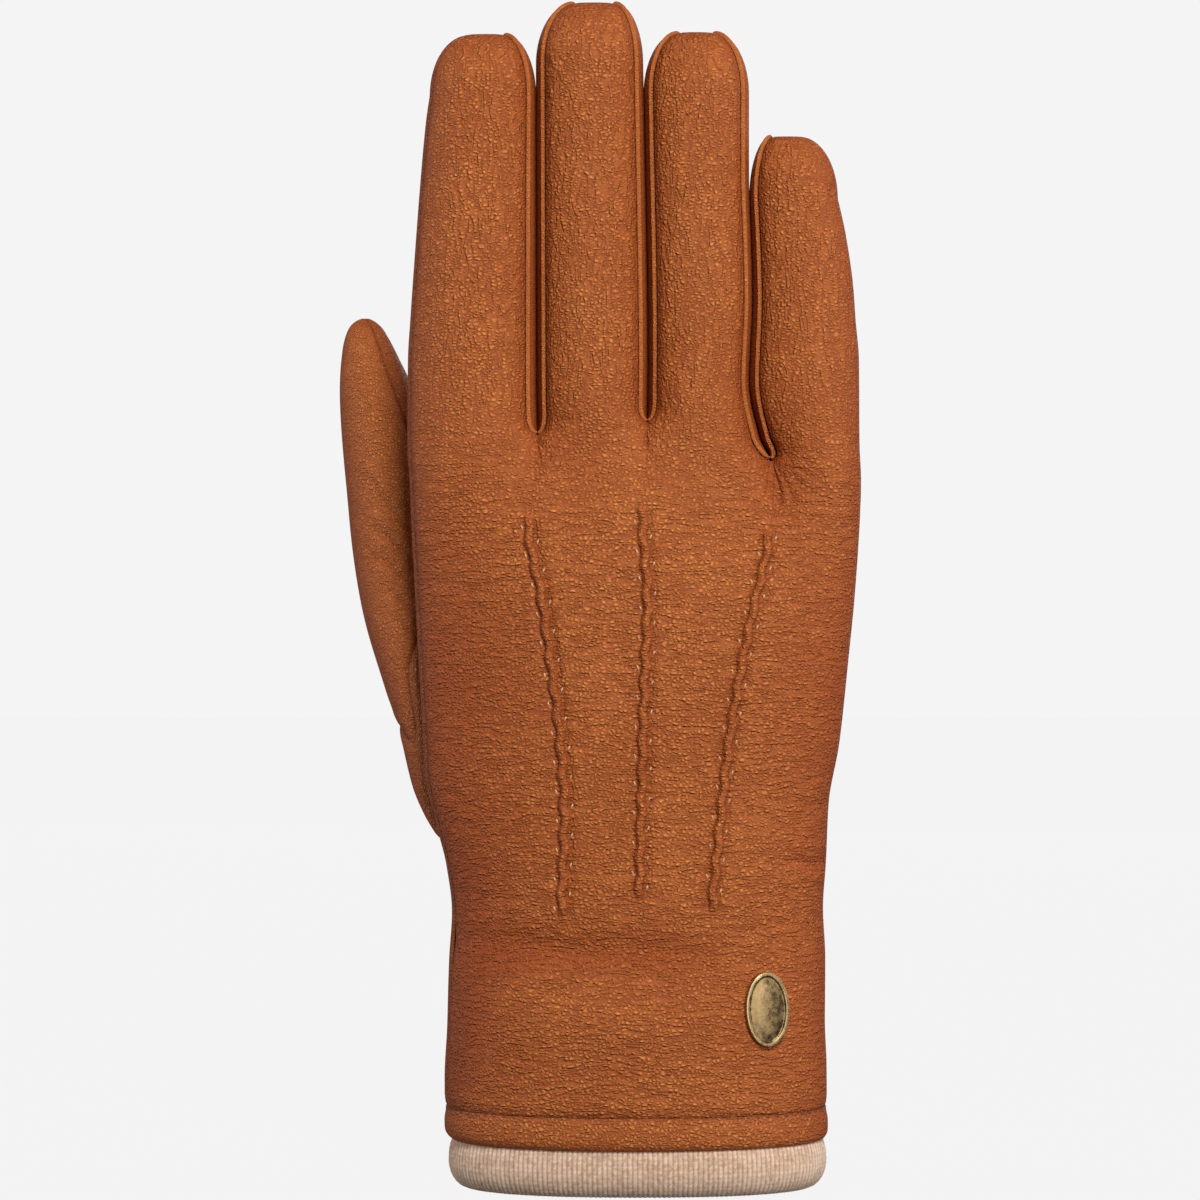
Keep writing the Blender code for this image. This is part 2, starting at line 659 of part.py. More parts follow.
def main():
    clear_scene()
    leather = material("cognac_leather", COGNAC, 0.5)
    dark_leather = material("cognac_leather_edge", COGNAC_DARK, 0.55)
    knit = material("oatmeal_knit", OATMEAL, 0.95)
    brass = material("antique_brass", BRASS, 0.4, 1.0)
    elastic = material("white_elastic", ELASTIC_WHITE, 0.8)
    palm = make_hand(leather)
    make_cuff(leather, knit)
    lining_hand = sheet("lining_hand", lining_rows(), KNIT, knit, loop=True)
    for i in range(4):
        make_finger(i, leather, dark_leather, knit)
    root, lining_thumb = make_thumb(leather, knit)
    set_in_thumb(palm, lining_hand, root, lining_thumb)
    make_points(dark_leather)
    make_badge(brass)
    make_elastic(elastic)
    index_pad_low = TIP_HEIGHTS[0] - PAD_BELOW_TIP - PAD_LENGTH
    touch_pad("touch_pad_index", partial(finger_point, 0), index_pad_low, dark_leather)
    touch_pad("touch_pad_thumb", thumb_point, THUMB_PAD_LOW, dark_leather)


main()
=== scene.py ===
import math

import bpy
import numpy as np
from mathutils import Matrix, Vector, kdtree


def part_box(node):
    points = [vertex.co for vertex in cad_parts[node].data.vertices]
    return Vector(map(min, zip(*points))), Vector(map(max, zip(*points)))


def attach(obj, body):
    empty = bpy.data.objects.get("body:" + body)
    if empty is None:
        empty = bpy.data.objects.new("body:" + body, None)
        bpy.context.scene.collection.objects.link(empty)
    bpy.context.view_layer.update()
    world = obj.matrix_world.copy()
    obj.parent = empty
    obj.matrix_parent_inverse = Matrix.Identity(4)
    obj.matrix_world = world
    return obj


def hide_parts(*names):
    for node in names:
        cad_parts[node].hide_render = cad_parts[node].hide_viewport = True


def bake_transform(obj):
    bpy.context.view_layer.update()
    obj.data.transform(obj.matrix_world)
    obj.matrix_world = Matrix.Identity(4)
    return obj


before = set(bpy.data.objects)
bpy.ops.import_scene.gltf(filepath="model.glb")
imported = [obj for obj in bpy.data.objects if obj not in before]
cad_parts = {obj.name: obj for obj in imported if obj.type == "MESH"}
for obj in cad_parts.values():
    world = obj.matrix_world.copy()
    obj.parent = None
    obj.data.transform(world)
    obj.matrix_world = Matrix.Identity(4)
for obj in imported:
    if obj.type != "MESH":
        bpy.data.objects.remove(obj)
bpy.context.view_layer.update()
mm = 0.001  # shapes are worked out in millimetres and made in metres

fingers = ["index", "middle", "ring", "little"]
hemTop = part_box("cuff_hem")[1].z / mm
tips = [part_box(name + "_back")[1].z / mm for name in fingers]
quarter = math.pi / 2
pieces = {}
print("glove: frame loaded,", len(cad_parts), "nodes")


def smoothLine(points):
    # a smooth line through a few (place, value) pairs, with no overshoot between them
    place = np.array([point[0] for point in points], float)
    value = np.array([point[1] for point in points], float)
    slope = np.diff(value) / np.diff(place)
    tangent = np.zeros(len(place))
    tangent[0], tangent[-1] = slope[0], slope[-1]
    for k in range(1, len(slope)):
        if slope[k - 1] * slope[k] > 0:
            tangent[k] = 2 * slope[k - 1] * slope[k] / (slope[k - 1] + slope[k])

    def at(z):
        z = np.clip(z, place[0], place[-1])
        k = np.clip(np.searchsorted(place, z, side="right") - 1, 0, len(place) - 2)
        span = place[k + 1] - place[k]
        t = (z - place[k]) / span
        low = ((2 * t - 3) * t * t + 1) * value[k] + ((t - 2) * t + 1) * t * span * tangent[k]
        return low + (3 - 2 * t) * t * t * value[k + 1] + (t - 1) * t * t * span * tangent[k + 1]

    return at


def hump(distance, reach):
    return np.exp(-((distance / reach) ** 2))


def ease(distance, reach):
    # 0 at no distance, 1 from the reach on, level at both ends
    t = np.clip(distance / reach, 0, 1)
    return t * t * (3 - 2 * t)


def mix(a, b, share):
    return a + (b - a) * share


# The five lines that part the fingers and run on down the hand: (height, across)
form = {
    "lines": [
        [(10, -39.4), (12.3, -39.9), (22.6, -40.1), (33.8, -39.5), (47.6, -39.1), (57, -38.6), (66.9, -39.7),
         (75.5, -41.8), (86.3, -44.2), (97, -44.8), (118.4, -46.0), (134, -46.8), (147, -47.4), (155.6, -47.9),
         (172.8, -47.8), (181.4, -47.3), (197, -46.2), (210, -45.2), (223, -44.0), (232.2, -42.6)],
        [(10, -15.5), (60, -15.3), (78.6, -14.8), (93.3, -15.6), (108, -17.4), (122.5, -19.4), (138.8, -22.3),
         (157.4, -20.6), (167, -20.8), (235, -21.0)],
        [(10, 0.6), (63.4, 0.6), (87.1, 1.1), (108, 1.7), (122.5, 2.2), (140.6, 1.2), (160, 2.3), (171.5, 2.5),
         (234.5, 1.5)],
        [(10, 15.5), (60.7, 15.5), (70.2, 16.4), (93.3, 18.9), (112.1, 22.1), (122.5, 24.4), (135.3, 27.3),
         (147, 28.4), (152.2, 28.0), (156.5, 26.0), (168.4, 23.7), (185.6, 24.4), (210, 23.7)],
        [(10, 40.0), (25, 39.9), (34.8, 39.5), (47.8, 39.6), (58, 39.2), (66.9, 39.7), (79.7, 40.2), (92.6, 42.5),
         (111.9, 44.7), (122.6, 45.8), (134, 46.6), (148, 47.2), (155.6, 46.9), (172.8, 46.8), (181.4, 46.1),
         (188.5, 45.6), (199, 44.1), (209, 41.9)],
    ],
    "crotch": [155.0, 157.4, 160.0, 152.2, 150.0],
    "handDepth": [(10, 22), (16.8, 22), (58, 19), (155, 15)],   # half of it, from the wearer's wrist up
    "handBulge": 2.35,
    "fingerBulge": 2.2,
    "rootDepth": [11.0, 11.0, 10.75, 9.75],
    "tipDepth": [9.25, 9.5, 9.25, 8.25],
    "dome": 13.0,
    "tipFlat": [3.6, 4.2, 3.6, 3.0],        # half of the straight top of each tip
    "tipShift": [0.8, 1.0, 0.0, -1.6],
    "gap": -0.06,
    "notch": 3.6,                           # height of the rounded end of a gap
    "knuckleFade": 34.0,
    "valleyFade": 6.0,
    "seamTurn": math.radians(33),           # the seams beside a gap sit this far round from its middle
    "indexSeam": math.radians(17),
    "littleSeam": math.radians(171),
}
lines = [smoothLine(points) for points in form["lines"]]
handDepth = smoothLine(form["handDepth"])
roundPower = 2 / form["fingerBulge"]
seamShare = math.cos(form["seamTurn"]) ** roundPower


def shareOf(turn):
    c = np.cos(turn)
    return -np.sign(c) * np.abs(c) ** roundPower


def columnShare(i, turn):
    # how far across finger i's strip of the hand a turn falls, 0 to 1
    first = -1.0 if i == 0 else -seamShare
    last = 1.0 if i == 3 else seamShare
    return (shareOf(turn) - first) / (last - first)


def topHeight(i, turn):
    # where finger i leaves the hand
    share = np.clip(columnShare(i, turn), 0, 1)
    return mix(form["crotch"][i], form["crotch"][i + 1], share * share * (3 - 2 * share))


def skinPoint(i, turn, climb):
    # the glove's outer face: turn 0 looks to the thumb, a quarter turn to the back; climb is the way up a finger
    start = tips[i] - form["dome"]
    curl = np.clip((climb - start) / form["dome"], 0, quarter)
    closing = np.cos(curl)
    level = np.minimum(climb, start)
    left, right = lines[i](level), lines[i + 1](level)
    stallLeft = left + (form["gap"] / 2 if i > 0 else 0)
    stallRight = right - (form["gap"] / 2 if i < 3 else 0)
    centre, half = (stallLeft + stallRight) / 2, (stallRight - stallLeft) / 2
    share, lobe = shareOf(turn), np.abs(np.sin(turn)) ** roundPower
    openings = []
    for k in (i, i + 1):
        t = np.clip((level - form["crotch"][k]) / form["notch"], 0, 1)
        openings.append(np.sqrt(1 - (1 - t) ** 2))
    leftAt = left if i == 0 else mix(left, centre - seamShare * half, openings[0])
    rightAt = right if i == 3 else mix(right, centre + seamShare * half, openings[1])
    across = columnShare(i, turn)
    x = mix(leftAt, rightAt, across)
    x = np.where(across < -1e-6, mix(left, centre + half * share, openings[0]), x)
    x = np.where(across > 1 + 1e-6, mix(right, centre + half * share, openings[1]), x)
    below = topHeight(i, turn) - level
    handLeft, handRight = lines[0](level), lines[4](level)
    s = np.clip((2 * x - handLeft - handRight) / (handRight - handLeft), -1, 1)
    handAt = handDepth(level) * (1 - np.abs(s) ** form["handBulge"]) ** (1 / form["handBulge"])
    rootHalf = form["rootDepth"][i]
    settled = 1 - ease(below, form["knuckleFade"])
    outer = (share < 0) if i == 0 else (share > 0) if i == 3 else np.zeros_like(share, bool)
    valley = 1 - (1 - lobe) * np.exp(-np.maximum(below, 0) / form["valleyFade"])
    handHalf = np.where(outer, mix(handAt, rootHalf * lobe, settled), mix(handAt, rootHalf, settled) * valley)
    up = np.clip(-below / (start - form["crotch"][i]), 0, 1)
    stallHalf = mix(rootHalf, form["tipDepth"][i], up) * lobe * closing
    depth = np.where(below > 0, handHalf, stallHalf)
    middle = centre + form["tipShift"][i] * (1 - closing)
    flat = form["tipFlat"][i]
    x = np.where(closing < 1, middle + (x - centre) * (mix(flat, half, closing) / half), x)
    z = level + form["dome"] * np.sin(curl)
    return np.stack([x, -np.sign(np.sin(turn)) * depth, z + 0 * x], axis=-1)


def tipClimb(i, share=quarter - 0.01):
    # how far up finger i the skin runs, and how far over its dome
    return tips[i] - form["dome"] + form["dome"] * share


def gridNormals(grid):
    # normals of any length, for a grid whose columns run to the right and rows up, seen from outside
    up, down = grid[1:, 1:] - grid[:-1, :-1], grid[1:, :-1] - grid[:-1, 1:]
    face = np.cross(up, down)
    total = np.zeros_like(grid)
    for rows in (slice(None, -1), slice(1, None)):
        for columns in (slice(None, -1), slice(1, None)):
            total[rows, columns] += face
    return total


def unit(vectors):
    return vectors / np.maximum(np.linalg.norm(vectors, axis=-1, keepdims=True), 1e-9)


def closedRing(grid):
    # the first column once more after the last, so that a ring meets itself
    return np.concatenate([grid, grid[:, :1]], axis=1)


def ringNormals(grid):
    total = gridNormals(closedRing(grid))
    total[:, 0] += total[:, -1]
    return unit(total[:, :-1])


def lengthAlong(path):
    # how far along a path each of its points lies
    return np.concatenate([[0], np.cumsum(np.linalg.norm(np.diff(path, axis=0), axis=1))])


def linkPiece(name, points, faces, look):
    # a mesh from points in millimetres, with its finish, in the scene
    mesh = bpy.data.meshes.new(name)
    mesh.from_pydata((points * mm).tolist(), [], faces)
    mesh.shade_smooth()
    mesh.materials.append(look)
    piece = bpy.data.objects.new(name, mesh)
    bpy.context.scene.collection.objects.link(piece)
    pieces[name] = piece
    return piece


def skinMesh(name, grid, normal, thickness, look, dark, tone):
    # a wall of leather or knit over a grid of points; dark is painted shade per point, and tone is painted shade and
    # painted highlight added to the painted highlight of leather
    rows, columns = grid.shape[:2]
    count = rows * columns
    index = np.arange(count).reshape(rows, columns)
    a, b, c, d = index[:-1, :-1], index[:-1, 1:], index[1:, 1:], index[1:, :-1]
    outer = np.stack([a, b, c, d], axis=-1).reshape(-1, 4)
    faces = [outer, outer[:, ::-1] + count]
    for edge in (index[0, ::-1], index[-1], index[:, 0], index[::-1, -1]):
        p, q = edge[:-1], edge[1:]
        faces.append(np.stack([p, q, q + count, p + count], axis=-1))
    outside, facing = grid.reshape(-1, 3), normal.reshape(-1, 3)
    points = np.concatenate([outside, outside - facing * thickness])
    mesh = linkPiece(name, points, np.concatenate(faces).tolist(), look).data
    place = mesh.attributes.new("place", "FLOAT_VECTOR", "POINT")
    place.data.foreach_set("vector", points.astype(np.float32).ravel())
    paintedHighlight = np.clip(np.abs(normal[..., 1]) ** 1.6 + tone, 0, 1.3)  # painted highlight: leather that faces out is painted paler, as if lit
    for mark, values in (("shade", dark), ("paintedHighlight", paintedHighlight)):
        flat = np.broadcast_to(values, (rows, columns)).ravel()
        layer = mesh.attributes.new(mark, "FLOAT", "POINT")
        layer.data.foreach_set("value", np.concatenate([flat, flat]).astype(np.float32))
    mesh.normals_split_custom_set_from_vertices(np.concatenate([facing, -facing]).tolist())


def panelTurns(i, side):
    # where finger i's back (side -1) or palm (side 1) begins and ends, as turns round it
    if side < 0:
        return (form["indexSeam"] if i == 0 else form["seamTurn"],
                form["littleSeam"] if i == 3 else math.pi - form["seamTurn"])
    return (form["littleSeam"] if i == 3 else math.pi + form["seamTurn"],
            2 * math.pi + (form["indexSeam"] if i == 0 else -form["seamTurn"]))


# how closely the skin's points are set: the back (-1), the palm (1), and the first columns beside a seam
weave = {
    -1: {"step": 0.8, "handRows": 236, "fingerRows": 136},
    1: {"step": 1.1, "handRows": 170, "fingerRows": 110},
    "beside": [0, 0.14, 0.3, 0.48, 0.68, 0.9, 1.14, 1.4, 1.68, 2.0, 2.34, 2.72, 3.14, 3.62],
}


def spreadTurns(i, first, last, step):
    # columns close together beside a seam and further apart between two
    turn = np.linspace(first, last, 800)
    section = skinPoint(i, turn, np.full(800, tips[i] - 50.0))   # halfway up the finger
    along = lengthAlong(section)
    beside = np.array(weave["beside"])
    between = along[-1] - 2 * beside[-1]
    if between < step:
        places = np.linspace(0, along[-1], 13)
    else:
        middle = np.linspace(beside[-1], along[-1] - beside[-1], max(3, int(round(between / step)) + 1))
        places = np.concatenate([beside[:-1], middle, along[-1] - beside[-2::-1]])
    return np.interp(places, along, turn)


def columnGrid(i, turns, handRows, fingerRows):
    # one finger's strip of skin from the hem to the tip; the hand's rows come first
    top = topHeight(i, turns)[None, :]
    low = mix(hemTop, top, np.linspace(0, 1, handRows)[:, None])
    high = mix(top, tipClimb(i), np.linspace(0, 1, fingerRows)[1:, None])
    return skinPoint(i, turns[None, :], np.concatenate([low, high]))


def seamCurves(side):
    # points along every seam of the back (side -1) or the palm (side 1)
    found = []
    for i in range(4):
        ends = panelTurns(i, side)
        for turn, outermost in zip(ends, (0, 3) if side < 0 else (3, 0)):
            low = hemTop if i == outermost else float(topHeight(i, np.array([turn]))[0])
            climb = np.arange(low, tipClimb(i), 0.25)
            found.append(skinPoint(i, np.full(len(climb), turn), climb))
        for height, count in ((tipClimb(i), 60), (hemTop, 400)):
            found.append(skinPoint(i, np.linspace(*ends, count), np.full(count, height)))
    return np.concatenate(found)


def distanceTo(curve, grid):
    tree = kdtree.KDTree(len(curve))
    for k, point in enumerate(curve.tolist()):
        tree.insert(point, k)
    tree.balance()
    flat = [tree.find(point)[2] for point in grid.reshape(-1, 3).tolist()]
    return np.array(flat).reshape(grid.shape[:2])


seam = {"depth": 0.30, "roll": 0.36, "hollow": 0.14, "puff": 0.10, "bead": 0.34, "beadAt": 0.62}


def panelRoll(distance):
    # the leather of a panel turns in at its seams and swells a little beside them
    turnedIn = -seam["depth"] * hump(distance, seam["roll"]) - seam["hollow"] * hump(distance, 1.5)
    return turnedIn + seam["puff"] * hump(distance - 2.4, 1.1)


def seamShade(distance, soft=0.16, reach=1.3):
    # painted shade in the seam itself, and a little beside it
    return 0.42 * hump(distance, 0.26) + soft * hump(distance, reach)


def stripRoll(distance):
    # the strip between two fingers shows a thin bead along its seams
    return -seam["depth"] * hump(distance, 0.26) + seam["bead"] * hump(distance - seam["beadAt"], 0.34)


# The three raised points on the back: each follows one of the lines, from low to high
points = {
    "ends": {1: (58.5, 139.2), 2: (62.5, 141.0), 3: (59.5, 136.2)},
    "pitch": 6.0,
    "sway": 0.30,
    "ridge": 0.86,
    "ridgeHalf": 1.0,
    "groove": 0.22,
    "stitchOut": 1.6,
    "phase": {1: 0.6, 2: 3.4, 3: 0.9},
}
# Soft hollows and swellings of the back: across, height, reach across, reach up, depth
backForms = [
    (-12, 50.8, 24, 3.0, -1.25), (-26, 53.5, 10, 2.6, -0.5), (10, 48.0, 10, 2.8, -0.4), (-6, 36, 26, 7, 1.15),
    (-30, 60, 9, 6, -0.5), (-33, 96, 8, 20, -0.35), (-3, 142, 9, 6, 0.55), (-12, 152, 5.5, 9, -0.9),
    (14.5, 157, 7, 9, 0.5), (30.5, 148, 7, 11, -0.7), (37, 160, 7, 14, 0.6), (-36, 150, 8, 12, 0.3),
    (8, 62, 18, 5, 0.4), (30, 98, 9, 16, 0.35), (-8, 105, 6, 20, 0.3), (11, 108, 7, 20, 0.3),
]
# Fine folds that run out from the crotches: across, height, way they run, spread, folds, reach, depth
backFolds = [
    (-20.6, 156.5, -50, 40, 7, 8, 0.22), (2.3, 159, -80, 50, 6, 5, 0.12), (28.2, 151.5, -70, 75, 9, 11, 0.26),
    (-20.6, 156.5, -130, 35, 5, 6, 0.14),
]
# Short creases: across, height, half length, reach, depth, slope
backCreases = [
    (35.2, 68.2, 5.0, 0.8, -0.75, -0.05), (36.5, 71.5, 4, 1.0, 0.35, 0), (35.5, 64.8, 4.5, 1.2, 0.4, 0),
    (-30, 47.5, 8, 1.0, -0.3, 0.1), (-3, 45.5, 13, 1.1, -0.22, -0.1), (27, 55.5, 8, 1.0, -0.2, 0.12),
    (-33, 75, 5, 0.8, -0.25, -0.35), (-36, 81, 5, 0.8, -0.22, -0.4), (38, 80, 4, 0.8, -0.18, 0.4),
    (-30, 125, 6, 1.0, -0.16, 0.2), (38, 118, 5, 0.9, -0.16, -0.2),
]


# Painted shade where the back turns away from the light, and a painted highlight where it is lighter: across, height,
# reach across, reach up, amount
backPaintedShading = [
    (-37, 108, 11, 36, -0.65), (-32, 62, 10, 22, -0.5), (-12, 50.0, 26, 4.5, -0.6), (-38, 34, 10, 16, -0.6),
    (38, 112, 8, 34, -0.3), (-13, 151, 6, 10, -0.4), (31, 146, 7, 11, -0.45), (-3, 141, 9, 9, 0.15),
    (9, 50, 12, 4, -0.3), (-20, 100, 8, 40, -0.12),
]


def addSpots(grid, spots):
    total = np.zeros(grid.shape[:2])
    for atX, atZ, reachX, reachZ, amount in spots:
        total += amount * hump(grid[..., 0] - atX, reachX) * hump(grid[..., 2] - atZ, reachZ)
    return total


def addCreases(grid, creases, waver, pace):
    total = np.zeros(grid.shape[:2])
    for atX, atZ, half, reach, depth, slope in creases:
        across = grid[..., 0] - atX
        bent = grid[..., 2] - atZ - slope * across + waver * np.sin(across * pace)
        total += depth * hump(across, half) * hump(bent, reach)
    return total


def backRelief(grid):
    x, z = grid[..., 0], grid[..., 2]
    rise = addSpots(grid, backForms) + addCreases(grid, backCreases, 0.35, 0.8)
    for atX, atZ, aim, spread, folds, reach, depth in backFolds:
        away = np.hypot(x - atX, z - atZ)
        angle = np.arctan2(z - atZ, x - atX) - math.radians(aim)
        angle = (angle + math.pi) % (2 * math.pi) - math.pi
        window = hump(angle, math.radians(spread)) * hump(away - 0.45 * reach, 0.5 * reach)
        rise += depth * window * np.cos(angle * folds * 2 + 0.8 * np.sin(away * 0.9))
    return rise


def pointRelief(grid):
    # (rise, shade) of the stitched ridges and the puckered leather beside them
    x, z = grid[..., 0], grid[..., 2]
    rise, shade = np.zeros_like(x), np.zeros_like(x)
    for k, (low, high) in points["ends"].items():
        inside = ease(z - low + 1.2, 1.8) * ease(high - z + 1.2, 1.8)
        way = (z - low) * 2 * math.pi / points["pitch"] + points["phase"][k]
        away = x - lines[k](z)
        fromRidge = away - points["sway"] * np.sin(way)
        out = np.abs(fromRidge)
        rise += inside * points["ridge"] * np.clip(1 - (out / points["ridgeHalf"]) ** 2, 0, 1) ** 0.6
        rise -= inside * points["groove"] * hump(out - 1.2, 0.36)
        rise += inside * 0.16 * hump(out - 3.0, 1.2)
        # painted shade in the grooves beside the ridge
        shade += inside * (0.28 * hump(out - 1.15, 0.26) + 0.08 * hump(out - 1.9, 0.7))
        for side in (-1, 1):
            # the ridge is pushed away from each stitch, so the stitches of one side sit half a pitch from the other's
            near = np.cos(way + side * quarter)
            stitched = np.clip(near, 0, 1) ** 6
            beside = side * away
            rise -= inside * stitched * 0.30 * hump(beside - points["stitchOut"], 0.5)
            rise -= inside * stitched * 0.13 * hump(beside - 2.9, 1.3)
            # painted shade in the dents at the stitches
            shade += inside * stitched * 0.35 * hump(beside - points["stitchOut"] - 0.1, 0.4)
            rise += inside * np.clip(-near, 0, 1) ** 2 * 0.10 * hump(beside - 2.4, 1.0)
    return rise, np.clip(shade, 0, 1)


def buildSide(side):
    # the back (side -1) or the palm (side 1): four strips with one skin below the crotches
    step, handRows, fingerRows = weave[side].values()
    order = range(4)[::-side]
    curve = seamCurves(side)
    grids = [columnGrid(i, spreadTurns(i, *panelTurns(i, side), step), handRows, fingerRows) for i in order]

    def normalsOf(grids):
        totals = [gridNormals(grid) for grid in grids]
        for a, b in zip(totals, totals[1:]):
            shared = a[:handRows, -1] + b[:handRows, 0]
            a[:handRows, -1] = shared
            b[:handRows, 0] = shared
        return [unit(total) for total in totals]

    normals = normalsOf(grids)
    darks = []
    for k, grid in enumerate(grids):
        away = distanceTo(curve, grid)
        rise = panelRoll(away)
        if side < 0:
            ridge, shade = pointRelief(grid)
            rise += backRelief(grid) + ridge
        else:
            shade = palmShade(grid)
            rise += palmRelief(grid)
        darks.append(np.clip(seamShade(away) + shade, 0, 1))
        grids[k] = grid + normals[k] * rise[..., None]
    return list(zip(order, grids, normalsOf(grids), darks))


def joinedHand(parts, handRows):
    # one skin of the hand from the four strips, whose neighbours share a column: points, normals, shade
    return [np.concatenate([part[k][:handRows, min(n, 1):] for n, part in enumerate(parts)], axis=1)
            for k in (1, 2, 3)]


palm = {
    "elasticAt": 67.0, "elasticFirst": -24.0, "elasticLast": 38.0, "gather": 5.2, "gatherDepth": 0.9,
    "forms": [(0, 112, 16, 26, -1.2), (-24, 96, 12, 20, 0.8), (27, 92, 11, 24, 0.9), (0, 138, 34, 8, 0.5),
              (0, 60, 26, 6, -0.6), (0, 40, 28, 10, 0.5)],
    "creases": [(-4, 124, 24, 1.2, -0.35, -0.10), (8, 137, 26, 1.2, -0.35, 0.12), (-14, 104, 12, 1.1, -0.3, 0.9),
                (12, 150, 14, 1.0, -0.2, 0.05)],
}


def elasticReach(grid):
    # 1 along the elastic and 0 past its ends, and the height above it
    x = grid[..., 0]
    within = ease(x - palm["elasticFirst"], 4) * ease(palm["elasticLast"] - x, 4)
    return within, grid[..., 2] - palm["elasticAt"]


def palmRelief(grid):
    x = grid[..., 0]
    rise = addSpots(grid, palm["forms"]) + addCreases(grid, palm["creases"], 0.8, 0.15)
    within, up = elasticReach(grid)
    folds = np.cos(2 * math.pi * x / palm["gather"] + 0.7 * np.sin(x * 0.31) + 0.25 * np.sin(up * 0.5))
    rise += within * palm["gatherDepth"] * folds * hump(up, 8.5) * (0.7 + 0.3 * np.sin(x * 0.9))
    rise -= within * (0.9 * hump(up, 5.5) + 0.35 * hump(np.abs(up) - 2.4, 0.5))
    return rise


def palmShade(grid):
    within, up = elasticReach(grid)
    # painted shade in the two grooves along the elastic
    return within * 0.5 * hump(np.abs(up) - 2.4, 0.45)


def nodeGroup(name, inputs, outputs):
    group = bpy.data.node_groups.new(name, "ShaderNodeTree")
    for label, kind, value in inputs:
        socket = group.interface.new_socket(name=label, in_out="INPUT", socket_type=kind)
        if value is not None:
            socket.default_value = value
    for label, kind in outputs:
        group.interface.new_socket(name=label, in_out="OUTPUT", socket_type=kind)
    return group, group.nodes.new("NodeGroupInput"), group.nodes.new("NodeGroupOutput")


def addNode(tree, kind, values=None, **settings):
    node = tree.nodes.new("ShaderNode" + kind)
    for setting, value in settings.items():
        setattr(node, setting, value)
    for socket, value in (values or {}).items():
        if isinstance(value, bpy.types.NodeSocket):
            tree.links.new(value, node.inputs[socket])
        else:
            node.inputs[socket].default_value = value
    return node


def calc(tree, operation, a, b=0.0, clamp=False):
    return addNode(tree, "Math", {0: a, 1: b}, operation=operation, use_clamp=clamp).outputs[0]


def blendColour(tree, share, a, b):
    return addNode(tree, "Mix", {0: share, 6: a, 7: b}, data_type="RGBA").outputs[2]


def between(tree, value, low, high, toLow=0.0, toHigh=1.0):
    node = addNode(tree, "MapRange", {0: value, 1: low, 2: high, 3: toLow, 4: toHigh},
                   interpolation_type="SMOOTHSTEP", clamp=True)
    return node.outputs[0]


def makeGrainGroup():
    # pebbled grain: cells parted by fine valleys, with smaller cells inside; lengths are in millimetres
    group, given, result = nodeGroup(
        "pebbledGrain",
        [("Place", "NodeSocketVector", None), ("Cell", "NodeSocketFloat", 1.0), ("Drawn", "NodeSocketVector", None)],
        [("Height", "NodeSocketFloat"), ("Valley", "NodeSocketFloat"), ("Mottle", "NodeSocketFloat")],
    )
    drawn = addNode(group, "VectorMath", {0: given.outputs["Place"], 1: given.outputs["Drawn"]}, operation="MULTIPLY")
    waver = addNode(group, "TexNoise", {"Vector": drawn.outputs[0], "Scale": 0.4, "Detail": 1.0})
    centred = addNode(group, "VectorMath", {0: waver.outputs["Color"], 1: (0.5, 0.5, 0.5)}, operation="SUBTRACT")
    pushed = addNode(group, "VectorMath", {0: centred.outputs[0], "Scale": 1.1}, operation="SCALE")
    place = addNode(group, "VectorMath", {0: drawn.outputs[0], 1: pushed.outputs[0]}, operation="ADD").outputs[0]
    scale = calc(group, "DIVIDE", 1.0, given.outputs["Cell"])
    edge = addNode(group, "TexVoronoi", {"Vector": place, "Scale": scale, "Randomness": 0.95},
                   feature="DISTANCE_TO_EDGE").outputs["Distance"]
    cell = addNode(group, "TexVoronoi", {"Vector": place, "Scale": scale, "Randomness": 0.95}).outputs["Color"]
    fine = addNode(group, "TexVoronoi", {"Vector": place, "Scale": calc(group, "MULTIPLY", scale, 2.3)},
                   feature="DISTANCE_TO_EDGE").outputs["Distance"]
    pebble = between(group, edge, 0.0, 0.42)
    small = between(group, fine, 0.0, 0.3)
    apart = addNode(group, "SeparateColor", {0: cell})
    uneven = calc(group, "ADD", calc(group, "MULTIPLY", apart.outputs[0], 0.22), 0.78)
    height = calc(group, "MULTIPLY", pebble, uneven)
    height = calc(group, "ADD", height, calc(group, "MULTIPLY", small, 0.12))
    group.links.new(height, result.inputs["Height"])
    valley = calc(group, "SUBTRACT", 1.0, calc(group, "MULTIPLY", height, 0.9), clamp=True)
    group.links.new(valley, result.inputs["Valley"])
    cloud = addNode(group, "TexNoise", {"Vector": given.outputs["Place"], "Scale": 0.045, "Detail": 4.0,
                                        "Roughness": 0.6})
    group.links.new(cloud.outputs[0], result.inputs["Mottle"])
    return group


def makeStretchGroup():
    # long fine creases where soft leather has been pulled, drawn out along one way
    group, given, result = nodeGroup(
        "stretchCreases",
        [("Place", "NodeSocketVector", None), ("Along", "NodeSocketVector", None)],
        [("Height", "NodeSocketFloat")],
    )
    drawn = addNode(group, "VectorMath", {0: given.outputs["Place"], 1: given.outputs["Along"]}, operation="MULTIPLY")
    creases = addNode(group, "TexNoise", {"Vector": drawn.outputs[0], "Scale": 1.0, "Detail": 1.0, "Distortion": 0.8})
    ridged = calc(group, "ABSOLUTE", calc(group, "SUBTRACT", creases.outputs[0], 0.5))
    group.links.new(between(group, ridged, 0.0, 0.14), result.inputs["Height"])
    return group


grainGroup = makeGrainGroup()
stretchGroup = makeStretchGroup()


def newFinish(name, constants):
    finish = bpy.data.materials.new(name)
    finish.use_nodes = True
    shader = finish.node_tree.nodes["Principled BSDF"]
    for socket, value in constants.items():
        shader.inputs[socket].default_value = value
    return finish, finish.node_tree, shader


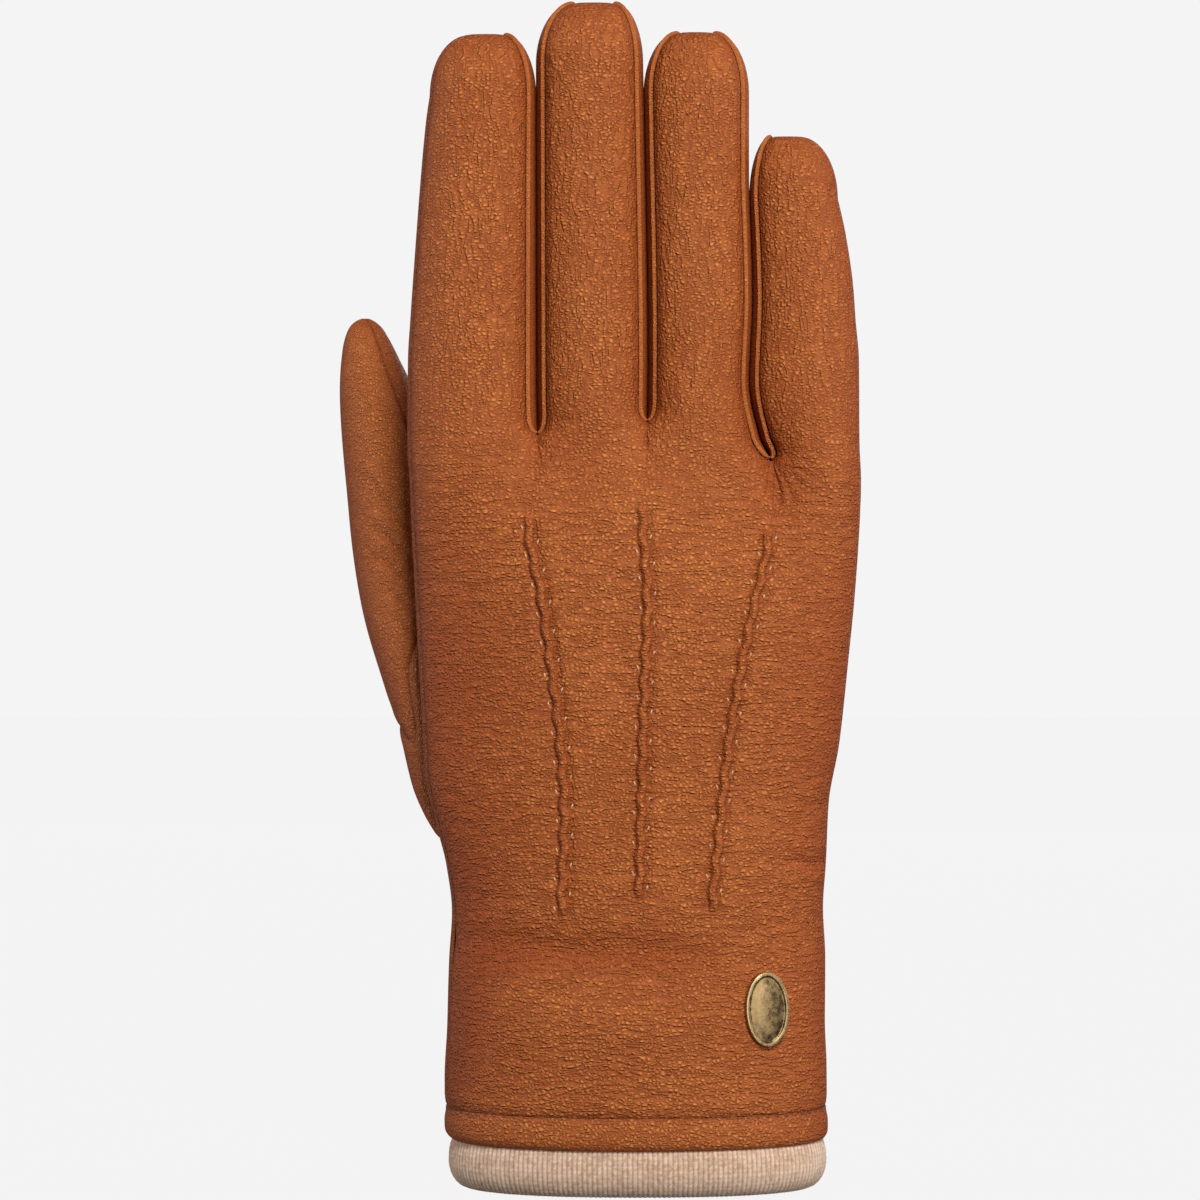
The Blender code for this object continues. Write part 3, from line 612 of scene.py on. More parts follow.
def addBump(tree, shader, strength, distance, height, under=None):
    # raise the surface by a height, in metres, on top of another bump if there is one
    bump = addNode(tree, "Bump", {"Strength": strength, "Distance": distance, "Height": height})
    if under:
        tree.links.new(under.outputs[0], bump.inputs["Normal"])
    tree.links.new(bump.outputs[0], shader.inputs["Normal"])
    return bump


def attribute(tree, name, output="Fac"):
    return addNode(tree, "Attribute", attribute_name=name, attribute_type="GEOMETRY").outputs[output]


leatherLook = {
    "top": (0.62, 0.205, 0.044, 1),       # painted highlight on pebbles that face out
    "base": (0.335, 0.066, 0.0065, 1),
    # painted shade colour for the grain's valleys and the creases
    "deep": (0.185, 0.029, 0.0030, 1),
    # painted shade colour for seams, grooves and gaps
    "seam": (0.100, 0.016, 0.0020, 1),
    "grain": 0.00026,
    "creases": 0.00026,
    "turnLow": 138.0,                     # the heights between which the creases turn upright
    "turnHigh": 172.0,
}


def addGroup(tree, group, values):
    node = addNode(tree, "Group", node_tree=group)
    for socket, value in values.items():
        if isinstance(value, bpy.types.NodeSocket):
            tree.links.new(value, node.inputs[socket])
        else:
            node.inputs[socket].default_value = value
    return node


def leatherFinish(name, cell=0.7, drawn=(1, 1, 1), along=(0.2, 0.2, 1.0), upper=None, tone=1.0, grain=1.0,
                  folds=1.0, rough=0.44):
    # cell is the grain's size in mm; drawn and along stretch the grain and the creases; upper is along on the fingers
    finish, tree, shader = newFinish(name, {"Specular IOR Level": 0.26})
    place = attribute(tree, "place", "Vector")
    grainNode = addGroup(tree, grainGroup, {"Place": place, "Cell": cell, "Drawn": drawn})
    creasing = addGroup(tree, stretchGroup, {"Place": place, "Along": along}).outputs["Height"]
    if upper:
        # the creases turn from level on the hand to upright on the fingers
        above = addGroup(tree, stretchGroup, {"Place": place, "Along": upper}).outputs["Height"]
        height = addNode(tree, "SeparateXYZ", {0: place}).outputs["Z"]
        share = between(tree, height, leatherLook["turnLow"], leatherLook["turnHigh"])
        creasing = addNode(tree, "Mix", {0: share, 2: creasing, 3: above}, data_type="FLOAT").outputs[0]
    # painted shade: the grain's valleys and the stretch creases are painted darker
    valley = calc(tree, "MULTIPLY", grainNode.outputs["Valley"], 0.5 * grain)
    crease = calc(tree, "MULTIPLY", calc(tree, "SUBTRACT", 1.0, creasing), 0.22 * folds)
    valley = calc(tree, "ADD", valley, crease, clamp=True)
    mottle = between(tree, grainNode.outputs["Mottle"], 0.3, 0.7, 0.75, 1.1)
    # painted highlight: share of the paler top colour, from leather facing out, the back's painted shading and the
    # pebble tops, varied by a random mottle
    paintedHighlight = calc(tree, "MULTIPLY", attribute(tree, "paintedHighlight"), mottle)
    raised = between(tree, grainNode.outputs["Height"], 0.0, 1.0, 0.42, 1.02)
    paintedHighlight = calc(tree, "MULTIPLY", paintedHighlight, raised, clamp=True)

    def toned(colour):
        return (*[part * tone for part in colour[:3]], 1)

    colour = blendColour(tree, paintedHighlight, toned(leatherLook["base"]), toned(leatherLook["top"]))
    colour = blendColour(tree, valley, colour, toned(leatherLook["deep"]))
    # painted shade from the shade attribute: seams, grooves and gaps
    dark = attribute(tree, "shade")
    colour = blendColour(tree, calc(tree, "MULTIPLY", dark, 0.8, clamp=True), colour, leatherLook["seam"])
    tree.links.new(colour, shader.inputs["Base Color"])
    dull = calc(tree, "ADD", calc(tree, "MULTIPLY", grainNode.outputs["Valley"], 0.22), rough)
    tree.links.new(calc(tree, "ADD", dull, calc(tree, "MULTIPLY", dark, 0.2)), shader.inputs["Roughness"])
    creased = addBump(tree, shader, 0.7, leatherLook["creases"] * folds, creasing)
    addBump(tree, shader, 1.0, leatherLook["grain"] * grain, grainNode.outputs["Height"], under=creased)
    return finish


def knitFinish(name, fuzz=0.25):
    finish, tree, shader = newFinish(name, {"Roughness": 0.95, "Specular IOR Level": 0.15, "Sheen Weight": fuzz,
                                            "Sheen Roughness": 0.6})
    place = attribute(tree, "place", "Vector")
    fleck = addNode(tree, "TexNoise", {"Vector": place, "Scale": 1.1, "Detail": 3.0, "Roughness": 0.7}).outputs[0]
    heather = addNode(tree, "TexNoise", {"Vector": place, "Scale": 0.3, "Detail": 3.0}).outputs[0]
    fibre = addNode(tree, "TexNoise", {"Vector": place, "Scale": 6.0, "Detail": 4.0, "Roughness": 0.75}).outputs[0]
    colour = blendColour(tree, between(tree, fleck, 0.35, 0.65), (0.50, 0.31, 0.20, 1), (0.78, 0.54, 0.38, 1))
    colour = blendColour(tree, between(tree, heather, 0.42, 0.62, 0.0, 0.35), colour, (0.85, 0.63, 0.47, 1))
    colour = blendColour(tree, between(tree, fibre, 0.55, 0.8, 0.0, 0.5), colour, (0.30, 0.17, 0.10, 1))
    # painted shade from the shade attribute: the knit's furrows, and a little over the lining
    dark = attribute(tree, "shade")
    colour = blendColour(tree, calc(tree, "MULTIPLY", dark, 0.65, clamp=True), colour, (0.22, 0.13, 0.08, 1))
    tree.links.new(colour, shader.inputs["Base Color"])
    addBump(tree, shader, 0.8, 0.0002, fibre)
    return finish


def threadFinish(name, colour, deep):
    finish, tree, shader = newFinish(name, {"Roughness": 0.7})
    place = addNode(tree, "TexCoord").outputs["Object"]
    twist = addNode(tree, "TexNoise", {"Vector": place, "Scale": 2500.0, "Detail": 2.0}).outputs[0]
    tree.links.new(blendColour(tree, between(tree, twist, 0.35, 0.65), deep, colour), shader.inputs["Base Color"])
    addBump(tree, shader, 0.5, 0.00005, twist)
    return finish


def brassFinish(name):
    finish, tree, shader = newFinish(name, {"Metallic": 1.0})
    place = addNode(tree, "TexCoord").outputs["Object"]
    wear = addNode(tree, "TexNoise", {"Vector": place, "Scale": 700.0, "Detail": 5.0, "Roughness": 0.65}).outputs[0]
    pits = addNode(tree, "TexNoise", {"Vector": place, "Scale": 1900.0, "Detail": 2.0}).outputs[0]
    edge = addNode(tree, "NewGeometry").outputs["Pointiness"]
    worn = between(tree, edge, 0.5, 0.56)
    colour = blendColour(tree, between(tree, wear, 0.35, 0.65), (0.12, 0.075, 0.034, 1), (0.27, 0.185, 0.085, 1))
    colour = blendColour(tree, worn, colour, (0.50, 0.37, 0.19, 1))
    tree.links.new(colour, shader.inputs["Base Color"])
    tree.links.new(between(tree, wear, 0.3, 0.7, 0.28, 0.5), shader.inputs["Roughness"])
    addBump(tree, shader, 0.4, 0.00006, pits)
    return finish


def elasticFinish(name):
    finish, tree, shader = newFinish(name, {"Roughness": 0.85})
    place = attribute(tree, "place", "Vector")
    ribs = addNode(tree, "TexWave", {"Vector": place, "Scale": 0.9, "Distortion": 0.4},
                   wave_type="BANDS", bands_direction="Z").outputs[0]
    colour = blendColour(tree, ribs, (0.52, 0.49, 0.43, 1), (0.72, 0.70, 0.64, 1))
    tree.links.new(colour, shader.inputs["Base Color"])
    addBump(tree, shader, 0.6, 0.0002, ribs)
    return finish


looks = {
    "back": leatherFinish("cognacBack", cell=0.66, drawn=(0.66, 0.66, 0.92), along=(0.15, 0.15, 0.7),
                          upper=(0.6, 0.6, 0.2)),
    "palm": leatherFinish("cognacPalm", cell=0.75),
    "strip": leatherFinish("cognacStrip", cell=0.5, grain=0.6, folds=0.3, rough=0.45),
    "thumb": leatherFinish("cognacThumb", cell=0.62, drawn=(1.0, 1.0, 0.85), along=(0.3, 0.3, 0.8), folds=0.6,
                           grain=0.8),
    "hem": leatherFinish("cognacHem", cell=0.9, drawn=(1, 1, 1.1), folds=0.7),
    "touch": leatherFinish("touchLeather", cell=0.45, tone=0.5, grain=0.4, folds=0.2, rough=0.36),
    "knit": knitFinish("oatmealKnit"),
    "lining": knitFinish("oatmealLining", fuzz=0.1),
    "paleThread": threadFinish("tanThread", (0.62, 0.36, 0.19, 1), (0.40, 0.20, 0.09, 1)),
    "darkThread": threadFinish("brownThread", (0.10, 0.034, 0.014, 1), (0.045, 0.014, 0.007, 1)),
    "brass": brassFinish("agedBrass"),
    "elastic": elasticFinish("wovenElastic"),
}
print("glove: finishes ready")


view = {"across": -7.56, "height": 122.6, "away": 750.0, "width": 252.0}   # the camera, and how wide it sees
thumb = {
    # height, centre across, centre depth, half width, half depth
    "rows": [(72, -35.0, 5.2, 6.0, 3.6), (77.6, -35.5, 6.8, 9.0, 5.6), (84, -36.1, 8.6, 11.0, 7.6),
             (94, -37.2, 11.2, 12.2, 10.0), (104, -40.2, 14.4, 12.5, 11.6), (118, -44.5, 18.2, 12.4, 12.0),
             (132, -47.6, 21.4, 11.8, 11.6), (147, -50.0, 22.8, 10.9, 10.8), (162, -53.2, 23.4, 8.9, 9.4),
             (172.8, -55.7, 23.4, 6.2, 7.0), (179, -56.7, 23.4, 3.9, 4.2), (181.6, -56.9, 23.4, 1.2, 1.2),
             (182.0, -56.9, 23.4, 0.05, 0.05)],
    "seamTurn": math.radians(115),
    "columns": 132,
    "rootRise": 22.0,
    # creases on the side that faces out: across, height, half length, reach, depth, slope
    "creases": [(-51.5, 141, 4.2, 0.8, -0.5, -0.9), (-52.5, 135.5, 4.6, 0.8, -0.55, -0.85),
                (-52, 129.5, 4.5, 0.8, -0.5, -0.8), (-51, 123.5, 4, 0.8, -0.4, -0.75),
                (-55, 146, 3, 0.7, -0.35, -0.9), (-49, 117, 3.4, 0.8, -0.35, -0.6)],
    "rootRows": 26,
    "topRows": 130,
}
thumbLines = [smoothLine([(row[0], row[k]) for row in thumb["rows"]]) for k in range(1, 5)]


def thumbPoint(turn, z):
    # the rows are as the camera sees them, so what stands further away is spread out
    x, y, half, deep = [line(z) for line in thumbLines]
    c, s = np.cos(turn), np.sin(turn)
    px = x - half * np.sign(c) * np.abs(c) ** roundPower
    py = y - deep * np.sign(s) * np.abs(s) ** roundPower
    further = 1 + py / view["away"]
    px = view["across"] + (px - view["across"]) * further
    pz = view["height"] + (z - view["height"]) * further
    return np.stack([px + 0 * pz, py + 0 * pz, pz + 0 * px], axis=-1)


def handHalfAt(x, z):
    left, right = lines[0](z), lines[4](z)
    s = np.clip((2 * x - left - right) / (right - left), -1, 1)
    return handDepth(z) * (1 - np.abs(s) ** form["handBulge"]) ** (1 / form["handBulge"])


def thumbStarts(turn):
    # where each column of the thumb comes out of the palm
    z = np.arange(thumb["rows"][0][0], 150.0, 0.25)
    grid = thumbPoint(turn[None, :], z[:, None])
    inside = (grid[..., 0] > lines[0](grid[..., 2])) & (np.abs(grid[..., 1]) < handHalfAt(grid[..., 0], grid[..., 2]))
    last = np.where(inside.any(0), len(z) - 1 - inside[::-1].argmax(0), 0)
    starts = z[last]
    for _ in range(6):
        starts = 0.5 * starts + 0.25 * (np.roll(starts, 1) + np.roll(starts, -1))
    return starts


thumbTurns = np.linspace(0, 2 * math.pi, thumb["columns"] + 1)[:-1] + math.radians(0.5)
thumbTurns = np.sort(np.concatenate([thumbTurns, [thumb["seamTurn"], thumb["seamTurn"] + math.pi]]))
thumbLow = thumbStarts(thumbTurns)
thumbMid = thumbLow + 2.2 + thumb["rootRise"] * np.clip(np.cos(thumbTurns), 0, 1) ** 1.2
thumbFoot = thumbPoint(thumbTurns, thumbLow)


def climbThumb(low, high, rows):
    # heights for each column, evenly spaced along the thumb's outline
    z = np.linspace(thumb["rows"][0][0], thumb["rows"][-1][0], 2000)
    outline = np.stack([thumbLines[0](z) - thumbLines[2](z), z], axis=1)
    along = lengthAlong(outline)
    first, last = np.interp(low, z, along), np.interp(high, z, along)
    places = mix(first[None, :], last[None, :], np.linspace(0, 1, rows)[:, None])
    return np.interp(places, along, z)


def densePath(curve, per=8):
    share = np.arange(0, len(curve) - 1, 1 / per)
    low = share.astype(int)
    return mix(curve[low], curve[low + 1], (share - low)[:, None])


footSeam = densePath(np.concatenate([thumbFoot, thumbFoot[:1]]))
seamColumns = [int(np.argmin(np.abs(thumbTurns - turn))) for turn in (thumb["seamTurn"], thumb["seamTurn"] + math.pi)]


def buildThumb():
    rootZ = climbThumb(thumbLow, thumbMid, thumb["rootRows"])
    topZ = climbThumb(thumbMid, np.full(len(thumbTurns), thumb["rows"][-1][0]), thumb["topRows"])
    z = np.concatenate([rootZ, topZ[1:]])
    grid = thumbPoint(thumbTurns[None, :], z)
    rootSeam = thumbPoint(thumbTurns, thumbMid)
    seams = [footSeam, densePath(np.concatenate([rootSeam, rootSeam[:1]]))]
    seams += [densePath(grid[thumb["rootRows"] - 1:, k], 4) for k in seamColumns]
    away = distanceTo(np.concatenate(seams), grid)
    normal = ringNormals(grid)
    x, height = grid[..., 0], grid[..., 2]
    rise = panelRoll(away)
    outward = ease(-normal[..., 1] + 0.3, 0.6)
    for atX, atZ, half, reach, depth, slope in thumb["creases"]:
        bent = (height - atZ - slope * (x - atX)) / math.sqrt(1 + slope * slope) + 0.3 * np.sin((x - atX) * 1.1)
        fold = hump(bent, reach) - 0.5 * hump(bent - 1.9, 1.1)
        rise += outward * depth * hump(x - atX, half) * fold
    grid = grid + normal * rise[..., None]
    return grid, ringNormals(grid), seamShade(away)


# Walls in millimetres; the hem and the rim are folds, and their profile gives them their body
wall = {"leather": 0.8, "knit": 1.0, "thin": 0.6, "hem": 0.1, "rim": 0.3, "thumbKnit": 0.8, "pad": 0.3, "tape": 0.4}


def addSkin(name, grid, normal, look, dark, thickness=wall["leather"], tone=0.0):
    skinMesh(name, grid, normal, thickness, looks[look], dark, tone)
    wide = np.linalg.norm(np.diff(grid, axis=1), axis=2).sum(1).max()
    tall = np.linalg.norm(np.diff(grid, axis=0), axis=2).sum(0).max()
    across, up = grid[1:, 1:] - grid[:-1, :-1], grid[1:, :-1] - grid[:-1, 1:]
    area = np.linalg.norm(np.cross(across, up), axis=2).sum() / 2
    tall = min(tall, area / (0.4 * wide))    # a ring of uneven height is cut no taller than its area fills


def addRing(name, grid, look, dark, thickness):
    addSkin(name, closedRing(grid), closedRing(ringNormals(grid)), look, dark, thickness)


def addPanels(parts, side, handName, suffix, look, paintedShading=()):
    # the hand's panel, and one piece for each finger from there up; gives the hand's points and normals
    handRows = weave[side]["handRows"]
    grid, normal, dark = joinedHand(parts, handRows)
    addSkin(handName, grid, normal, look, dark, tone=addSpots(grid, paintedShading))
    for i, *panel in parts:
        upper, facing, shade = [values[handRows - 1:] for values in panel]
        addSkin(fingers[i] + suffix, upper, facing, look, shade, tone=addSpots(upper, paintedShading))
    return grid, normal


backGrid, backNormal = addPanels(buildSide(-1), -1, "backPanel", "Back", "back", backPaintedShading)
print("glove: back of the hand and fingers made")

palmParts = buildSide(1)
for k, (i, grid, normal, dark) in enumerate(palmParts):
    if i < 2:
        away = distanceTo(footSeam, grid)
        grid = grid - normal * (0.5 * hump(away, 0.5) + 0.12 * hump(away, 1.5))[..., None]
        # painted shade in the groove along the thumb's seam
        dark = np.clip(dark + 0.4 * hump(away, 0.35), 0, 1)
        palmParts[k] = (i, grid, normal, dark)
addPanels(palmParts, 1, "palmPanel", "Palm", "palm")
print("glove: palm made")

seamLines = np.concatenate([seamCurves(-1), seamCurves(1)])
for i in range(4):
    for side, middle, outermost in (("Left", 0.0, 0), ("Right", math.pi, 3)):
        if i == outermost:
            continue
        turns = spreadTurns(i, middle - form["seamTurn"], middle + form["seamTurn"], 0.8)
        edgeTop = topHeight(i, np.array([middle]))[0]
        climb = mix(edgeTop + 0.02, tipClimb(i), np.linspace(0, 1, 130)[:, None] ** 1.15)
        grid = skinPoint(i, turns[None, :], climb + 0 * turns[None, :])
        normal = unit(gridNormals(grid))
        away = distanceTo(seamLines, grid)
        grid = grid + normal * stripRoll(away)[..., None]
        normal = unit(gridNormals(grid))
        # painted shade: in the seam, and deeper into the gap between the fingers
        dark = np.clip(0.35 * hump(away, 0.2) + 0.15 * ease(away - 0.9, 1.6), 0, 1)
        addSkin(fingers[i] + "Strip" + side, grid, normal, "strip", dark, wall["thin"])
print("glove: strips between the fingers made")

thumbSkin = buildThumb()    # points, normals and shade
rootGrid, rootNormal, rootDark = [closedRing(values[:thumb["rootRows"]]) for values in thumbSkin]
addSkin("thumbRoot", rootGrid, rootNormal, "thumb", rootDark, wall["thin"])
first, second = seamColumns
panels = {"thumbInner": list(range(first, second + 1)),
          "thumbOuter": list(range(second, len(thumbTurns))) + list(range(first + 1))}
for name, columns in panels.items():
    grid, normal, dark = [values[thumb["rootRows"] - 1:, columns] for values in thumbSkin]
    addSkin(name, grid, normal, "thumb", dark, wall["thin"])
print("glove: thumb made")


def ringAt(heights, step=0.9):
    # rings of points round the hand at these heights: the back, then the palm
    climb = np.asarray(heights, float)[:, None]
    stretches = []
    for side in (-1, 1):
        for i in range(4)[::-side]:
            turns = spreadTurns(i, *panelTurns(i, side), step)[None, :-1]
            stretches.append(skinPoint(i, turns, climb + 0 * turns))
    return np.concatenate(stretches, axis=1)


def outwardOf(grid):
    # level outward directions of closed rings
    ahead = np.roll(grid, -1, axis=1) - np.roll(grid, 1, axis=1)
    level = np.stack([ahead[..., 1], -ahead[..., 0], 0 * ahead[..., 0]], axis=-1)
    return unit(level)


cuff = {
    # a folded hem: height, how far in from the outer face
    "hem": [(16.8, 0.0), (15.5, 0.0), (14.0, -0.15), (12.6, -0.25), (11.6, -0.2), (10.9, 0.05), (10.4, 0.4),
            (10.08, 0.85), (10.0, 1.2), (10.15, 1.55), (10.7, 1.8), (12, 1.9), (15, 1.9)],
    "hemRows": 44,
    "hemOutside": 31,       # how many of them face out
    # the knitted rim: height, how far in
    "rim": [(14.0, 1.7), (11.0, 1.45), (9.3, 0.7), (7.4, 0.25), (5.2, 0.15), (3.4, 0.45), (1.8, 1.2), (0.6, 2.4),
            (0.15, 3.8), (0.7, 5.1), (2.2, 5.9), (5.0, 6.2), (10, 6.2), (18, 6.0)],
    "rimColumns": 980,
    "wales": 196,           # round the cuff
    "course": 0.95,
    "waleDepth": 0.17,
    "stitchAbove": 16.45,
    "stitchPitch": 2.2,
}


def pointsAlong(path, places):
    # the points of a path at these lengths along it
    length = lengthAlong(path)
    return np.stack([np.interp(places, length, path[:, axis]) for axis in range(3)], axis=-1)


def profileRings(profile, rows, columns=None):
    # a profile of heights and insets taken round the hand; columns spaces the points evenly
    path = np.array(profile, float)
    along = lengthAlong(path)
    at = rows * along[-1]
    heights, insets = [smoothLine(list(zip(along, path[:, k])))(at) for k in (0, 1)]
    grid = ringAt(heights)
    if columns:
        rings = [np.concatenate([ring, ring[:1]]) for ring in grid]
        shares = np.linspace(0, 1, columns + 1)[:-1]
        grid = np.stack([pointsAlong(ring, shares * lengthAlong(ring)[-1]) for ring in rings])
    return grid - outwardOf(grid) * insets[:, None, None], at


hemGrid = profileRings(cuff["hem"], np.linspace(0, 1, cuff["hemRows"]))[0][::-1]
hemNormal = ringNormals(hemGrid)
outside = (np.arange(cuff["hemRows"])[::-1] < cuff["hemOutside"])[:, None]
away = np.abs(hemGrid[..., 2] - hemTop)
swelling = 0.35 * hump(hemGrid[..., 0] + 5, 22) * np.clip(-hemNormal[..., 1], 0, 1)
hemGrid = hemGrid + hemNormal * np.where(outside, panelRoll(away) + swelling, 0)[..., None]
# painted shade: in the hem's seam outside, and over the whole turned-in face of the fold
addRing("cuffHem", hemGrid, "hem", closedRing(np.where(outside, seamShade(away, 0.12, 1.1), 0.3)), wall["hem"])

knitRows = np.concatenate([np.linspace(0, 0.62, 74), np.linspace(0.62, 1, 20)[1:]])
knitGrid, knitAlong = [values[::-1] for values in profileRings(cuff["rim"], knitRows, cuff["rimColumns"])]
knitNormal = ringNormals(knitGrid)
around = (np.arange(cuff["rimColumns"]) / cuff["rimColumns"] * cuff["wales"])[None, :]
upCourse = knitAlong[:, None] / cuff["course"]
leg = np.abs((around % 1) - 0.5) * 2
loopShape = 0.5 + 0.5 * np.cos(2 * math.pi * (upCourse + 0.45 * leg))
rib = np.sin(math.pi * (around % 1)) ** 0.7
unevenness = np.random.default_rng(4).normal(0, 0.05, knitGrid.shape[:2])
knitRise = cuff["waleDepth"] * (rib * (0.65 + 0.35 * loopShape) - 0.5) + 0.35 * unevenness
# painted shade in the furrows between the wales and the loops
knitFurrowShade = np.clip(1.1 - 1.3 * rib * (0.6 + 0.4 * loopShape), 0, 1)
addRing("knitCuff", knitGrid + knitNormal * knitRise[..., None], "knit", closedRing(knitFurrowShade), wall["rim"])

# The lining inside, in tubes that follow the leather
liningInset = wall["leather"] + 1.3
liningGrid = ringAt(np.linspace(13.0, 139.0, 60), 2.4)
liningGrid[..., 0] *= 1 - liningInset / 40    # 40 mm is half the cuff's width
liningGrid[..., 1] = np.sign(liningGrid[..., 1]) * np.maximum(np.abs(liningGrid[..., 1]) - 1.2 * liningInset, 0.2)
addRing("handLining", liningGrid, "lining", 0.1, wall["knit"])
turns = np.linspace(0, 2 * math.pi, 41)[None, :-1] + 0.01
for i in range(4):
    start = max(form["crotch"][i], form["crotch"][min(i + 1, 3)]) + 2.0
    climb = np.linspace(start, tipClimb(i, 1.25), 46)[:, None]
    grid = skinPoint(i, turns, climb + 0 * turns)
    addRing(fingers[i] + "Lining", grid - ringNormals(grid) * liningInset, "lining", 0.1, wall["knit"])
grid = thumbPoint(turns, np.linspace(112.0, 177.0, 36)[:, None])
addRing("thumbLining", grid - ringNormals(grid) * 1.2, "lining", 0.1, wall["thumbKnit"])

# The elastic sewn inside the palm's leather, across three fingers' strips of the hand
heights = np.linspace(palm["elasticAt"] - 3, palm["elasticAt"] + 3, 13)[:, None]
stretches = []
for i, count, part in ((3, 40, slice(2, -1)), (2, 30, slice(0, -1)), (1, 30, slice(0, -8))):
    turns = np.linspace(*panelTurns(i, 1), count)[None, part]
    stretches.append(skinPoint(i, turns, heights + 0 * turns))
grid = np.concatenate(stretches, axis=1)
normal = unit(gridNormals(grid))
grid = grid + normal * (palmRelief(grid) - wall["leather"] - 0.25)[..., None]
addSkin("elasticTape", grid, unit(gridNormals(grid)), "elastic", 0.0, wall["tape"])
print("glove: cuff, lining and elastic made")


def touchPatch(name, point, low, high, middle):
    # a thin pad with a sewn edge on a fingertip
    reach = math.radians(38)
    across, up = np.linspace(-1, 1, 40)[None, :], np.linspace(-1, 1, 50)[:, None]
    turns = middle + reach * across
    grid = point(turns, mix(low, high, (up + 1) / 2) + 0 * turns)
    normal = unit(gridNormals(grid))
    edge = (np.abs(across) ** 5 + np.abs(up) ** 5) ** (1 / 5)
    height = 0.34 * (1 - ease(edge - 0.86, 0.14) * 1.9) - 0.22 * hump(edge - 0.80, 0.035)
    grid = grid + normal * height[..., None]
    # painted shade in the groove along the pad's sewn edge
    addSkin(name, grid, unit(gridNormals(grid)), "touch", 0.8 * hump(edge - 0.80, 0.04), wall["pad"])


for name, node, point in (("indexTouch", "touch_pad_index", lambda turn, climb: skinPoint(0, turn, climb)),
                          ("thumbTouch", "touch_pad_thumb", thumbPoint)):
    low, high = [corner.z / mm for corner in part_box(node)]
    touchPatch(name, point, low, high, 3 * quarter)


def modelStitch(length, thick):
    # one stitch lying along X and sinking at both ends; it is copied everywhere
    bpy.ops.object.select_all(action="DESELECT")
    bpy.ops.mesh.primitive_uv_sphere_add(segments=8, ring_count=6, radius=thick / 2, rotation=(0, quarter, 0))
    stitch = bpy.context.object
    bpy.ops.object.transform_apply(location=True, rotation=True, scale=True)
    points = np.array([vertex.co[:] for vertex in stitch.data.vertices])
    points[:, 0] += np.sign(np.round(points[:, 0], 7)) * (length - thick) / 2
    points[:, 2] -= 0.55 * thick * (2 * points[:, 0] / length) ** 2
    faces = [list(face.vertices) for face in stitch.data.polygons]
    bpy.data.objects.remove(stitch)
    return points, faces


def sewn(name, shape, places, look):
    # copies of one stitch: each place is its middle, the way it runs and the way that is up, in millimetres
    points, faces = shape
    allPoints, allFaces = [], []
    for middle, run, up in places:
        run = unit(np.asarray(run, float))
        up = unit(np.asarray(up, float) - run * np.dot(run, up))
        side = np.cross(up, run)
        start = len(allPoints) * len(points)
        allPoints.append(np.asarray(middle) + points @ np.stack([run, side, up]))
        allFaces += [[k + start for k in face] for face in faces]
    linkPiece(name, np.concatenate(allPoints), allFaces, looks[look])


flatGrid, flatNormal = backGrid.reshape(-1, 3), backNormal.reshape(-1, 3)
backTree = kdtree.KDTree(len(flatGrid))
for k, (x, y, z) in enumerate(flatGrid.tolist()):
    backTree.insert((x, 0, z), k)
backTree.balance()


def onBack(x, z):
    # the point of the back at this place across and up, and the way it faces
    k = backTree.find((x, 0, z))[1]
    return flatGrid[k], flatNormal[k]


places = []
for k, (low, high) in points["ends"].items():
    for side in (-1, 1):
        # stitches stand where the ridge has swayed furthest to the other side
        first = (-side * quarter - points["phase"][k]) * points["pitch"] / (2 * math.pi)
        steps = np.arange(math.ceil(-first / points["pitch"]), 40)
        for z in low + first + steps * points["pitch"]:
            if low + 0.8 < z < high - 0.8:
                spot, facing = onBack(float(lines[k](z)) + side * (points["stitchOut"] - 0.05), z)
                places.append((spot + facing * 0.12, (side * 0.35, 0, 1), facing))
sewn("pointStitches", modelStitch(1.15, 0.42), places, "paleThread")

ring = ringAt([cuff["stitchAbove"]])[0]
ring = np.concatenate([ring, ring[:1]])
whole = lengthAlong(ring)[-1]
at = np.linspace(0, whole, int(whole / cuff["stitchPitch"]) + 1)[:-1] + 0.3
here = pointsAlong(ring, at)
run = unit(pointsAlong(ring, (at + 0.8) % whole) - here)
facing = np.cross(run, (0, 0, 1))
places = list(zip(here - facing * 0.28, run, facing))
sewn("hemStitches", modelStitch(1.65, 0.42), places, "darkThread")
print("glove: thread made")


badge = {
    "half": (4.9, 7.6),
    "thick": 1.0,
    "across": 26.3,
    "height": 38.7,
    "proud": 0.42,      # how far its middle stands off the leather
    # the steps from the rim to the middle: how far in, and how far up or down
    "steps": [(0.75, 0), (0.25, -0.28), (0.65, 0.10), (0.65, 0.16), (0.45, 0.08)],
}


